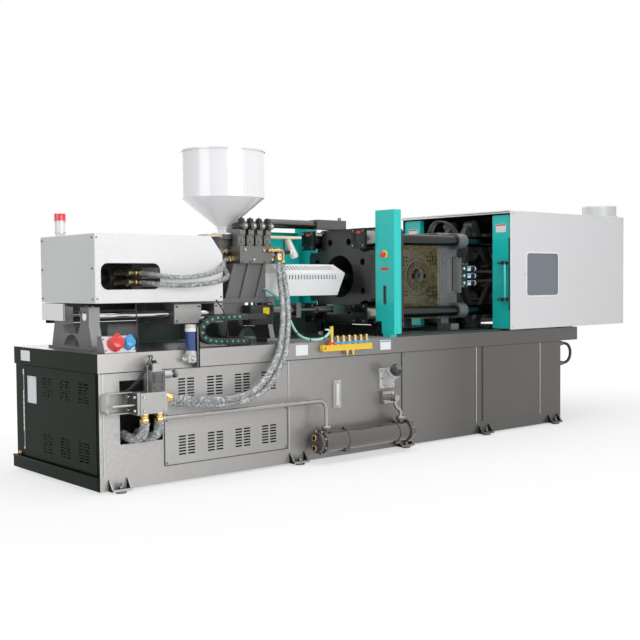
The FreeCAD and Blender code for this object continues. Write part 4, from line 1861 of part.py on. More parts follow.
MAKERS = [
    make_base_frame, make_louvred_panel, make_side_covers, make_cabinet_door,
    make_fixed_platen, make_tie_bars, make_tie_bar_nuts, make_moving_platen, make_tail_platen,
    make_clamp_cylinder, make_crosshead, make_ejector, make_platen_valves, make_clamp_guard,
    make_guard_window, make_vent_cowl, make_door_post, make_estop_button,
    make_guide_rods, make_rod_stands, make_carriage_frame, make_barrel, make_heater_bands,
    make_nozzle, make_screw, make_thrust_plate, make_hydraulic_motor, make_injection_cover,
    make_warning_lamp, make_barrel_guard, make_hopper, make_hopper_gate,
    make_injection_manifold, make_terminal_box, make_pull_cylinders, make_oil_cooler,
    make_cooler_pipes, make_lower_valve_block, make_filler, make_level_gauge,
    make_water_manifold, make_socket_box, make_grease_pump, make_operator_panel,
    make_pump_motor, make_hoses, make_drag_chain,
]
for maker in MAKERS:
    maker()
for name, way in (("upper", 1), ("lower", -1)):
    make_toggle(name, way)
sliding_door("front_door", -1)
sliding_door("rear_door", 1)

doc.recompute()

failed = [item.Name for item in doc.Objects
          if "Invalid" in item.State or "Error" in item.State]
for label, thing in subparts.items():
    if thing.Shape.isNull() or not thing.Shape.isValid() or thing.Shape.Volume <= 0:
        failed.append(label)
if failed:
    raise SystemExit(f"failed: {failed}")
for label, thing in subparts.items():
    thing.Shape.exportStep(f"parts/{label}.step")
print(f"{len(subparts)} sub-parts written")
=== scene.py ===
import json
import math
import random

import bmesh
import bpy
from mathutils import Matrix, Quaternion, Vector
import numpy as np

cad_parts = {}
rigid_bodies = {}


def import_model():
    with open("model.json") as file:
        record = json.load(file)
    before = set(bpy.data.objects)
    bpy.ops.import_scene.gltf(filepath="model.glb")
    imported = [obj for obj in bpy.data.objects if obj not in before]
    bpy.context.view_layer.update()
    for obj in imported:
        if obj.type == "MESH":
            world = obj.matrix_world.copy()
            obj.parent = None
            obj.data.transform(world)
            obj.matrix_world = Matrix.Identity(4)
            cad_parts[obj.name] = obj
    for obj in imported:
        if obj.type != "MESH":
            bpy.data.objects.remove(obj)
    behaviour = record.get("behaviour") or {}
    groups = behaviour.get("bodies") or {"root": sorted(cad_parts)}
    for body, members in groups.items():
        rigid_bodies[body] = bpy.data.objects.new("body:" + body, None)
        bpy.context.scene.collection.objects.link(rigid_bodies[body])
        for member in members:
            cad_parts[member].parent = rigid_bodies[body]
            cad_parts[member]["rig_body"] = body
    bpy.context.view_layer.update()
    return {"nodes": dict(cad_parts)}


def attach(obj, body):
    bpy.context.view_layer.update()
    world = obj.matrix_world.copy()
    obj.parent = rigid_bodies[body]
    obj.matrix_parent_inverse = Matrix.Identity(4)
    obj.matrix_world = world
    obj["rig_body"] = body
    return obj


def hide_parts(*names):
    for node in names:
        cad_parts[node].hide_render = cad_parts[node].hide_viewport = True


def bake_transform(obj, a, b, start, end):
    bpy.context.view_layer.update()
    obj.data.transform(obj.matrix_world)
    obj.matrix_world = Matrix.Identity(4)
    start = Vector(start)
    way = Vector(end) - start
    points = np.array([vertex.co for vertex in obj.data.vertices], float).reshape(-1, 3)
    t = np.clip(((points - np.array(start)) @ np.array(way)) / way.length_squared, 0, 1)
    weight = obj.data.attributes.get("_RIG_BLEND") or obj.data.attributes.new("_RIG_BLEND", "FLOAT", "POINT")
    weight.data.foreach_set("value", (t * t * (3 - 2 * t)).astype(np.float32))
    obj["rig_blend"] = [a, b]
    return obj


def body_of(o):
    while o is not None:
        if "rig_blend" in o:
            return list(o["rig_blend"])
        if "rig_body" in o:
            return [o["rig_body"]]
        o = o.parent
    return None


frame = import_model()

# Looks of a toggle-clamp injection moulding machine. Lengths in this file are millimetres of
# the row frame, X along the machine and Y = 0 on the clamp axis; mm() turns them into metres.
# Light, the camera and the places inside the materials are in metres.

MM = 0.001
LOOKS = {}                                    # material of each finish


def mm(*values):
    return Vector(values) * MM


# ------------------------------------------------------------------------------ materials

class Shader:
    """A material's node tree round one Principled shader."""

    def __init__(self, name, color, roughness, metallic=0.0, coat=0.0):
        self.material = LOOKS[name] = bpy.data.materials.new(name)
        self.material.use_nodes = True
        self.tree = self.material.node_tree
        self.shader = self.tree.nodes["Principled BSDF"]
        self.start("Base Color", (*color, 1.0))
        self.start("Roughness", roughness)
        self.start("Metallic", metallic)
        self.start("Coat Weight", coat)
        self.start("Coat Roughness", 0.12)
        self.place = self.tree.nodes.new("ShaderNodeTexCoord").outputs["Object"]

    def start(self, socket, value):
        self.shader.inputs[socket].default_value = value

    def use(self, socket, value):
        self.tree.links.new(value, self.shader.inputs[socket])

    def node(self, kind, inputs=(), **settings):
        made = self.tree.nodes.new(kind)
        for name, value in settings.items():
            setattr(made, name, value)
        for socket, value in inputs:
            if isinstance(value, bpy.types.NodeSocket):
                self.tree.links.new(value, made.inputs[socket])
            else:
                made.inputs[socket].default_value = value
        return made

    def stretched(self, scale):
        return self.node("ShaderNodeMapping", [("Vector", self.place),
                                               ("Scale", scale)]).outputs[0]

    def noise(self, scale, detail=4.0, stretch=None, distortion=0.0):
        place = self.stretched(stretch) if stretch else self.place
        return self.node("ShaderNodeTexNoise", [("Vector", place), ("Scale", scale),
                                                ("Detail", detail),
                                                ("Distortion", distortion)]).outputs["Fac"]

    def cells(self, scale, stretch=None, feature="F1"):
        place = self.stretched(stretch) if stretch else self.place
        return self.node("ShaderNodeTexVoronoi", [("Vector", place), ("Scale", scale)],
                         feature=feature).outputs["Distance"]

    def ramp(self, value, low, high):
        """Straight ramp through two (input, output) pairs."""
        made = self.node("ShaderNodeMapRange", [("Value", value), ("From Min", low[0]),
                                                ("From Max", high[0]), ("To Min", low[1]),
                                                ("To Max", high[1])])
        return made.outputs["Result"]

    def blend(self, share, first, second):
        made = self.node("ShaderNodeMix", data_type="RGBA")
        self.tree.links.new(share, made.inputs["Factor"])
        for name, value in (("A", first), ("B", second)):
            socket = next(s for s in made.inputs if s.name == name and s.type == "RGBA")
            if isinstance(value, bpy.types.NodeSocket):
                self.tree.links.new(value, socket)
            else:
                socket.default_value = (*value, 1.0)
        return next(s for s in made.outputs if s.type == "RGBA")

    def product(self, first, second):
        return self.node("ShaderNodeMath", [(0, first), (1, second)],
                         operation="MULTIPLY").outputs[0]

    def along(self, axis, low, high):
        """Ramp over the place along one axis of the row frame, in metres."""
        return self.ramp(self.node("ShaderNodeSeparateXYZ", [(0, self.place)]).outputs[axis],
                         low, high)

    def facing(self, axis, way=0):
        """1 where the surface looks along the axis; way 0 takes both directions."""
        normal = self.node("ShaderNodeNewGeometry").outputs["Normal"]
        part = self.node("ShaderNodeSeparateXYZ", [(0, normal)]).outputs[axis]
        kind = "MULTIPLY" if way else "ABSOLUTE"
        size = self.node("ShaderNodeMath", [(0, part), (1, way or 1.0)], operation=kind).outputs[0]
        return self.ramp(size, (0.6, 0.0), (0.8, 1.0))

    def relief(self, height, depth, strength=1.0, rounding=0.0):
        """Bump of the given depth in millimetres; rounding softens the solid's edges."""
        inputs = [("Height", height), ("Distance", depth * MM), ("Strength", strength)]
        if rounding:
            soft = self.node("ShaderNodeBevel", [("Radius", rounding * MM)], samples=4)
            inputs.append(("Normal", soft.outputs["Normal"]))
        self.use("Normal", self.node("ShaderNodeBump", inputs).outputs["Normal"])


TEAL = (0.010, 0.560, 0.520)
SHIELD_GREEN = (0.028, 0.050, 0.039)
END_GREEN = (0.011, 0.019, 0.013)
DUST = (0.05, 0.045, 0.04)
GRIME = (0.10, 0.095, 0.085)
RUST = (0.16, 0.09, 0.045)
STAIN = (0.10, 0.07, 0.04)
OIL = (0.085, 0.075, 0.042)
GREASE = (0.26, 0.21, 0.065)


def base_sheen_tone(made, color):
    """Dark green ends and splash shield; the long sides carry a painted grey sheen, a painted reflection
    that fades towards the clamp end; the tops a darker grey.
    """
    sides = made.blend(made.along("X", (-2.6, 0.0), (0.5, 1.0)), color, (0.095, 0.090, 0.084))
    level = made.blend(made.facing("Z"), sides, (0.085, 0.082, 0.075))
    ends = made.blend(made.facing("X"), level, END_GREEN)
    return made.blend(made.along("Z", (0.8105, 0.0), (0.8115, 1.0)), ends, SHIELD_GREEN)


def guard_shade_tone(made, color):
    """Painted shade: the faces inside the guard are dark, the outer faces light."""
    inside = made.product(made.along("X", (2.6140, 1.0), (2.6150, 0.0)),
                          made.along("Z", (1.7698, 1.0), (1.7706, 0.0)))
    walls = made.product(made.along("Y", (-0.6026, 0.0), (-0.6018, 1.0)),
                         made.along("Y", (0.6018, 1.0), (0.6026, 0.0)))
    return made.blend(made.product(inside, walls), color, (0.030, 0.032, 0.033))


def rear_door_shade_tone(made, color):
    """Painted shade: the leaf is dark on its inner face."""
    leaf = made.along("X", (1.092, 0.0), (1.096, 1.0))
    return made.blend(made.product(made.facing("Y", -1), leaf), color, (0.020, 0.024, 0.024))


def lock_plate_tone(made, color):
    """Dark lock plates on bright nuts."""
    return made.blend(made.along("X", (-0.3165, 1.0), (-0.3155, 0.0)), color,
                      (0.035, 0.045, 0.045))


def paint(name, color, roughness=0.34, dirt=DUST, dirt_share=0.10, peel=0.05, coat=0.25,
          rounding=2.0, metallic=0.0, specular=0.5, tone=None, dull_ends=False):
    """Sprayed enamel: faint orange peel, uneven gloss, a little dust and grime.

    tone(made, color) may return a colour that changes over the surface.
    """
    made = Shader(name, color, roughness, metallic, coat)
    made.start("Specular IOR Level", specular)
    if tone:
        color = tone(made, color)
    if dull_ends:
        ends = made.facing("X")
        made.use("Metallic", made.ramp(ends, (0.0, metallic), (1.0, 0.0)))
        made.use("Coat Weight", made.ramp(ends, (0.0, coat), (1.0, 0.0)))
        made.use("Specular IOR Level", made.ramp(ends, (0.0, specular), (1.0, 0.04)))
    cloud = made.noise(1.7, 5.0)
    speck = made.noise(38.0, 6.0, distortion=0.4)
    grime = made.product(made.ramp(cloud, (0.45, 0.0), (0.75, 1.0)),
                         made.ramp(speck, (0.42, 0.0), (0.72, 1.0)))
    share = made.ramp(grime, (0.0, 0.0), (1.0, dirt_share))
    made.use("Base Color", made.blend(share, color, dirt))
    made.use("Roughness", made.ramp(cloud, (0.3, roughness * 0.85), (0.7, roughness * 1.2)))
    made.relief(made.noise(420.0, 2.0), peel, 0.35, rounding)


def casting(name, color, roughness=0.55, grain=0.6, rust_share=0.14, ends=None):
    """Painted sand casting: pebbled skin, oily patches and a trace of rust."""
    made = Shader(name, color, roughness, 0.15, 0.12)
    dark = tuple(c * 0.55 for c in color)
    # When ends is given, faces looking along X take it and the other faces keep color, which can be a
    # painted reflection.
    if ends:
        color = made.blend(made.facing("X"), color, ends)
    patch = made.noise(3.1, 6.0, distortion=0.6)
    grit = made.noise(150.0, 6.0)
    stain = made.blend(made.ramp(patch, (0.50, 0.0), (0.78, rust_share)), color, RUST)
    made.use("Base Color", made.blend(made.ramp(grit, (0.45, 0.35), (0.75, 0.0)), stain, dark))
    made.use("Roughness", made.ramp(patch, (0.3, roughness * 0.75), (0.7, roughness * 1.25)))
    made.relief(grit, grain, 0.45, 3.0)


def metal(name, color, roughness, stretch, scale, mark=0.06, stain=STAIN, stain_share=0.10,
          tone=None):
    """Bare metal with tool marks drawn out along one axis and faint staining."""
    made = Shader(name, color, roughness, 1.0)
    if tone:
        color = tone(made, color)
    marks = made.noise(scale, 3.0, stretch)
    patch = made.noise(6.0, 5.0, distortion=0.5)
    made.use("Base Color", made.blend(made.ramp(patch, (0.52, 0.0), (0.80, stain_share)), color,
                                      stain))
    made.use("Roughness", made.ramp(marks, (0.3, roughness * 0.7), (0.7, roughness * 1.35)))
    made.relief(marks, mark, 0.5, 0.8)


def moulded(name, color, roughness=0.38, grain=0.05, coat=0.0):
    """Moulded plastic or rubber with a fine skin."""
    made = Shader(name, color, roughness, 0.0, coat)
    skin = made.noise(240.0, 3.0)
    tone = made.noise(14.0, 4.0)
    darker = tuple(c * 0.8 for c in color)
    made.use("Base Color", made.blend(made.ramp(tone, (0.35, 0.0), (0.75, 0.6)), color, darker))
    made.use("Roughness", made.ramp(tone, (0.3, roughness * 0.85), (0.7, roughness * 1.25)))
    made.relief(skin, grain, 0.5, 0.8)


def greased(name, casting_color=None, reach=0.0):
    """Machined face under a thick brushed coat of grease; beyond X = reach bare casting."""
    made = Shader(name, OIL, 0.4, 0.25, 0.5)
    strokes = made.noise(5.5, 7.0, (1.0, 1.0, 3.4), 2.4)
    lumps = made.noise(34.0, 5.0, distortion=1.2)
    shade = made.blend(made.ramp(lumps, (0.35, 0.0), (0.7, 1.0)), GREASE,
                       tuple(c * 0.30 for c in GREASE))
    coated = made.blend(made.ramp(strokes, (0.36, 1.0), (0.58, 0.0)), shade, OIL)
    if casting_color:
        coated = made.blend(made.along("X", (reach, 0.0), (reach + 0.004, 1.0)), coated,
                            casting_color)
    made.use("Base Color", coated)
    made.use("Roughness", made.ramp(strokes, (0.35, 0.22), (0.6, 0.55)))
    made.relief(lumps, 2.2, 0.7, 2.0)


def pane(name, color, alpha):
    """Tinted plastic sheet, seen through."""
    made = Shader(name, color, 0.08, 0.0, 0.4)
    made.start("Alpha", alpha)
    made.start("IOR", 1.49)
    made.use("Roughness", made.ramp(made.noise(7.0, 3.0), (0.35, 0.05), (0.7, 0.16)))
    made.relief(made.noise(2.2, 1.0), 0.4, 0.3)


def film(name):
    """Crumpled clear wrapping over what it covers: pale patches, partly painted highlight, and bumped
    creases.
    """
    made = Shader(name, (0.66, 0.69, 0.69), 0.14, 0.0, 0.8)
    creases = made.cells(46.0, EVEN, "DISTANCE_TO_EDGE")
    haze_and_glints = made.noise(24.0, 5.0, distortion=2.0)
    # Pale opaque patches in the film stand partly for painted highlights on the creases.
    made.use("Alpha", made.ramp(haze_and_glints, (0.38, 0.14), (0.66, 0.74)))
    made.use("Roughness", made.ramp(haze_and_glints, (0.3, 0.08), (0.7, 0.35)))
    made.relief(creases, 5.0, 0.8)


def braid(name, color, thread):
    """Rubber hose with a fine braided cover."""
    made = Shader(name, color, 0.5, 0.0)
    weave = made.cells(210.0)
    made.use("Base Color", made.blend(made.ramp(weave, (0.25, 0.0), (0.75, 1.0)), color, thread))
    made.relief(weave, 0.5, 0.7)


# How tool marks are drawn out: evenly, or along the axes with the smallest scale.
EVEN, TURNED, MILLED, DRAWN = (1, 1, 1), (1, 40, 40), (30, 30, 1), (1, 1, 30)

# The light grey is a painted reflection on the long sides of the dark base; ends, tops and splash shield
# take darker colours in the tone.
paint("base_paint_sheen", (0.520, 0.512, 0.500), peel=0.06, coat=0.35, dirt=GRIME, dirt_share=0.22,
      metallic=0.45, tone=base_sheen_tone, dull_ends=True)
paint("end_green", END_GREEN, dirt=GRIME, dirt_share=0.22, coat=0.0, specular=0.04)
paint("shield_green", SHIELD_GREEN, 0.30, coat=0.4, metallic=0.2)
paint("seam_shadow", (0.030, 0.032, 0.031), 0.5)
paint("rear_door_teal", TEAL, 0.32, tone=rear_door_shade_tone)
paint("teal_paint", TEAL, 0.32)
paint("teal_bar", (0.012, 0.42, 0.40), 0.24, coat=0.6)
paint("white_paint", (0.78, 0.78, 0.79), 0.36)
paint("pale_grey_paint", (0.55, 0.58, 0.56), 0.4)
paint("guard_steel", (0.66, 0.655, 0.67), dirt_share=0.03, tone=guard_shade_tone)
paint("hopper_white", (0.80, 0.80, 0.82), 0.16, dirt_share=0.03, peel=0.02, coat=0.8)
paint("cooler_paint", (0.115, 0.105, 0.100), 0.24, coat=0.6, metallic=0.6)
paint("yellow_paint", (0.80, 0.52, 0.03), 0.35, peel=0.1)
paint("cream_paint", (0.78, 0.66, 0.46), 0.35)
paint("bare_label", (0.76, 0.77, 0.79), 0.4, dirt_share=0.02, coat=0.2)
for name, *values in (
        ("deck_tread", (0.30, 0.285, 0.26), 0.45, 1.6, 0.10),
        ("dark_casting", (0.020, 0.022, 0.022), 0.30, 0.4),
        ("grey_casting", (0.17, 0.17, 0.175), 0.5),
        # On the rod stands this light grey is a painted reflection on the sides of dark paint; their faces
        # along X keep the dark paint.
        ("silver_casting", (0.36, 0.36, 0.365), 0.36, 0.8, 0.06, (0.030, 0.032, 0.033)),
        ("cast_aluminium", (0.62, 0.62, 0.61), 0.36, 0.5, 0.04),
        ("valve_grey", (0.23, 0.23, 0.225), 0.42, 0.25, 0.06),
        ("rib_grey", (0.20, 0.20, 0.205), 0.42, 0.3, 0.05),
        ("toggle_grey", (0.055, 0.057, 0.058), 0.42, 0.4)):
    casting(name, *values)
for name, *values in (
        ("manifold_steel", (0.185, 0.178, 0.168), 0.36, MILLED, 12),
        ("nut_steel", (0.30, 0.285, 0.26), 0.30, (30, 1, 1), 8, 0.06, (0.16, 0.09, 0.05), 0.35,
         lock_plate_tone),
        ("cylinder_grey", (0.150, 0.146, 0.140), 0.26, TURNED, 7, 0.02),
        ("olive_steel", (0.26, 0.235, 0.12), 0.30, (1, 30, 30), 8),
        ("block_steel", (0.40, 0.395, 0.385), 0.40, MILLED, 12),
        ("chrome", (0.72, 0.72, 0.73), 0.10, TURNED, 7, 0.02),
        ("bar_steel", (0.050, 0.052, 0.053), 0.20, TURNED, 7, 0.03),
        ("pipe_zinc", (0.40, 0.39, 0.375), 0.22, EVEN, 18, 0.004, STAIN, 0.05),
        ("dark_steel", (0.13, 0.13, 0.13), 0.36, EVEN, 60, 0.05),
        ("band_steel", (0.55, 0.54, 0.52), 0.30, (60, 1, 1), 9),
        ("screw_steel", (0.20, 0.20, 0.20), 0.30, EVEN, 90, 0.03),
        ("bright_screw", (0.62, 0.62, 0.62), 0.24, EVEN, 90, 0.03),
        ("pale_screw", (0.45, 0.45, 0.46), 0.34, EVEN, 90, 0.03),
        ("brass", (0.72, 0.50, 0.20), 0.24, EVEN, 60, 0.04),
        ("rib_sheen", (0.42, 0.44, 0.43), 0.40, (1, 1, 20), 9, 0.02),
        ("edge_steel", (0.62, 0.62, 0.61), 0.34, DRAWN, 9, 0.03),
        ("bare_plate", (0.55, 0.60, 0.62), 0.34, (1, 50, 1), 9, 0.02)):
    metal(name, *values)
for name, *values in (
        ("black_plastic", (0.018, 0.018, 0.019), 0.42),
        ("chain_plastic", (0.035, 0.037, 0.040), 0.5),
        ("white_plastic", (0.80, 0.80, 0.81), 0.3, 0.05, 0.3),
        ("red_plastic", (0.72, 0.025, 0.022), 0.28, 0.05, 0.5),
        ("blue_plastic", (0.035, 0.33, 0.66), 0.3, 0.05, 0.4),
        ("dark_blue", (0.012, 0.05, 0.22), 0.25, 0.05, 0.7),
        ("yellow_plastic", (0.80, 0.62, 0.02), 0.3, 0.05, 0.4),
        ("green_plastic", (0.02, 0.55, 0.33), 0.35),
        ("cap_green", (0.10, 0.13, 0.115), 0.26, 0.05, 0.5),
        ("rubber", (0.020, 0.020, 0.021), 0.55, 0.12),
        ("mint_hose", (0.30, 0.66, 0.56), 0.34, 0.05, 0.3),
        ("lamp_red", (0.85, 0.015, 0.03), 0.2, 0.05, 0.8),
        # Near-black shade painted into the moving platen's bolt holes.
        ("void_black", (0.006, 0.006, 0.006), 0.7)):
    moulded(name, *values)
greased("greased_face")
greased("platen_face", (0.14, 0.142, 0.146), 0.590)
pane("gauge_pane", (0.80, 0.80, 0.76), 0.9)
pane("window_pane", (0.155, 0.180, 0.215), 0.90)
braid("hose_braid", (0.030, 0.030, 0.032), (0.20, 0.20, 0.21))
film("clear_film")

NODE_FINISH = {
    "base_paint_sheen": "base_frame louvred_panel side_covers",
    "end_green": "cabinet_door",
    "dark_casting": "fixed_platen tail_platen clamp_cylinder pump_motor hydraulic_motor",
    "grey_casting": "carriage_frame thrust_plate",
    "silver_casting": "rod_stands socket_box",
    "toggle_grey": "crosshead rear_link_upper rear_link_lower front_link_upper "
                   "front_link_lower small_link_upper small_link_lower",
    "platen_face": "moving_platen",
    "bar_steel": "tie_bars",
    "nut_steel": "tie_bar_nuts",
    "chrome": "guide_rods screw",
    "block_steel": "lower_valve_block nozzle ejector",
    "dark_steel": "barrel platen_valves",
    "band_steel": "heater_bands",
    "manifold_steel": "injection_manifold",
    "cylinder_grey": "pull_cylinder_platen_side pull_cylinder_carriage_side",
    "pipe_zinc": "cooler_pipes",
    "cooler_paint": "oil_cooler",
    "cast_aluminium": "filler_neck grease_pump",
    "guard_steel": "clamp_guard",
    "window_pane": "guard_window",
    "gauge_pane": "level_gauge",
    "pale_grey_paint": "vent_cowl",
    "teal_paint": "door_post operator_panel front_door",
    "rear_door_teal": "rear_door",
    "white_paint": "barrel_guard injection_cover",
    "hopper_white": "hopper",
    "cream_paint": "hopper_gate",
    "yellow_paint": "water_manifold",
    "white_plastic": "warning_lamp",
    "red_plastic": "estop_button",
    "black_plastic": "terminal_box filler_cap",
    "chain_plastic": "drag_chain",
    "rubber": "fixed_cables",
}
for finish, nodes in NODE_FINISH.items():
    for node in nodes.split():
        materials = frame["nodes"][node].data.materials
        materials.clear()
        materials.append(LOOKS[finish])


# -------------------------------------------------------------------------- camera and light

CAMERA_PLACE = (-5.389, -5.802, 1.2155)
CAMERA_TURN = (0.7098, -0.0424, -0.0081)      # towards +X from +Y, up, roll; radians
FOCAL_SHARE = 1013.92 / 640                   # focal length over picture width
CENTRE_SHIFT = ((320 - 326.04) / 640, (324.81 - 320) / 640)
AMBIENT = 0.42
SOFTBOXES = (                                 # name, place, target, size, power in watts
    ("front_softbox", (-1.4, -6.6, 2.4), (-1.0, 0.0, 0.9), (4.5, 3.0), 190.0),
    ("top_softbox", (-0.5, -1.0, 5.5), (0.0, 0.0, 0.8), (6.0, 3.0), 130.0),
    ("left_softbox", (-7.0, -0.5, 3.0), (-1.0, 0.0, 1.0), (3.0, 2.5), 55.0),
    ("back_softbox", (1.0, 6.0, 3.5), (0.0, 0.0, 1.0), (5.0, 3.0), 110.0))


def placed(name, data):
    made = bpy.data.objects.new(name, data)
    bpy.context.scene.collection.objects.link(made)
    return made


def make_camera():
    yaw, pitch, roll = CAMERA_TURN
    ahead = Vector((math.sin(yaw) * math.cos(pitch), math.cos(yaw) * math.cos(pitch),
                    math.sin(pitch)))
    level = Vector((math.cos(yaw), -math.sin(yaw), 0.0))
    above = level.cross(ahead)
    right = level * math.cos(roll) + above * math.sin(roll)
    top = above * math.cos(roll) - level * math.sin(roll)
    data = bpy.data.cameras.new("camera")
    data.sensor_width = 36.0
    data.lens = FOCAL_SHARE * data.sensor_width
    data.shift_x, data.shift_y = CENTRE_SHIFT
    data.clip_end = 60.0
    camera = placed("camera", data)
    turn = Matrix((right, top, -ahead)).transposed().to_4x4()
    camera.matrix_world = Matrix.Translation(CAMERA_PLACE) @ turn
    bpy.context.scene.camera = camera


def softbox(name, place, target, size, power):
    data = bpy.data.lights.new(name, "AREA")
    data.shape = "RECTANGLE"
    data.size, data.size_y = size
    data.energy = power
    lamp = placed(name, data)
    lamp.location = place
    lamp.rotation_mode = "QUATERNION"
    lamp.rotation_quaternion = (Vector(target) - Vector(place)).to_track_quat("-Z", "Y")


def seen_directly(tree):
    """1 for camera, mirror and see-through rays, else 0."""
    path = tree.nodes.new("ShaderNodeLightPath")
    total = path.outputs["Is Camera Ray"]
    for name in ("Is Glossy Ray", "Is Transmission Ray"):
        add = tree.nodes.new("ShaderNodeMath")
        add.operation = "MAXIMUM"
        tree.links.new(total, add.inputs[0])
        tree.links.new(path.outputs[name], add.inputs[1])
        total = add.outputs[0]
    return total


def make_world():
    world = bpy.data.worlds.new("studio")
    world.use_nodes = True
    tree = world.node_tree
    back = tree.nodes["Background"]
    back.inputs["Color"].default_value = (1.0, 1.0, 1.0, 1.0)
    level = tree.nodes.new("ShaderNodeMapRange")
    tree.links.new(seen_directly(tree), level.inputs["Value"])
    level.inputs["To Min"].default_value = AMBIENT
    level.inputs["To Max"].default_value = 1.0
    tree.links.new(level.outputs["Result"], back.inputs["Strength"])
    bpy.context.scene.world = world


def make_floor():
    """Pale floor that melts into the white ground away from the machine."""
    data = bpy.data.meshes.new("floor")
    reach = 30.0
    data.from_pydata([(-reach, -reach, 0), (reach, -reach, 0), (reach, reach, 0),
                      (-reach, reach, 0)], [], [(0, 1, 2, 3)])
    floor = placed("floor", data)
    pale = Shader("pale_floor", (0.90, 0.90, 0.90), 0.85)
    pale.start("Specular IOR Level", 0.1)
    away = pale.node("ShaderNodeVectorMath", [(0, pale.stretched((0.16, 0.30, 1.0)))],
                     operation="LENGTH").outputs["Value"]
    share = pale.product(pale.ramp(away, (0.30, 0.55), (0.75, 1.0)), seen_directly(pale.tree))
    glow = pale.node("ShaderNodeEmission", [("Color", (1.0, 1.0, 1.0, 1.0)), ("Strength", 1.0)])
    mixed = pale.node("ShaderNodeMixShader", [(0, share), (1, pale.shader.outputs[0]),
                                              (2, glow.outputs[0])])
    pale.tree.links.new(mixed.outputs[0], pale.tree.nodes["Material Output"].inputs["Surface"])
    data.materials.append(pale.material)


make_camera()
make_world()
make_floor()
for values in SOFTBOXES:
    softbox(*values)
bpy.context.scene.view_settings.view_transform = "Standard"


# ---------------------------------------------------------------------------- mesh building

LEFT, RIGHT, FRONT, BACK = (-1, 0, 0), (1, 0, 0), (0, -1, 0), (0, 1, 0)
UP, DOWN = (0, 0, 1), (0, 0, -1)
UPRIGHT = Vector(UP)
SHARP_ANGLE = math.radians(40)
BOX_FACES = [(0, 1, 3, 2), (4, 6, 7, 5), (0, 4, 5, 1), (2, 3, 7, 6), (0, 2, 6, 4), (1, 5, 7, 3)]


def spokes(along, count, turn=0.0):
    """Unit vectors at even angles round an axis."""
    side = along.orthogonal().normalized()
    return [Quaternion(along, 2 * math.pi * step / count + turn) @ side for step in range(count)]


def round_corners(half, corner):
    """Outline of a rectangle with round corners, as (across, up) pairs."""
    outline = []
    for quarter, (i, j) in enumerate(((1, 1), (-1, 1), (-1, -1), (1, -1))):
        for step in range(5):
            angle = (quarter + step / 4) * math.pi / 2
            outline.append((i * (half[0] - corner) + corner * math.cos(angle),
                            j * (half[1] - corner) + corner * math.sin(angle)))
    return outline


def corner_places(middle, out, size, inset):
    """The four corners of an upright rectangle, inset from its edges."""
    side = UPRIGHT.cross(Vector(out))
    reach = (size[0] / 2 - inset, size[1] / 2 - inset)
    return [Vector(middle) + side * reach[0] * i + UPRIGHT * reach[1] * j
            for i in (-1, 1) for j in (-1, 1)]


def ride(piece, node):
    """Let a piece ride on the body of the named node."""
    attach(piece, body_of(frame["nodes"][node])[0])


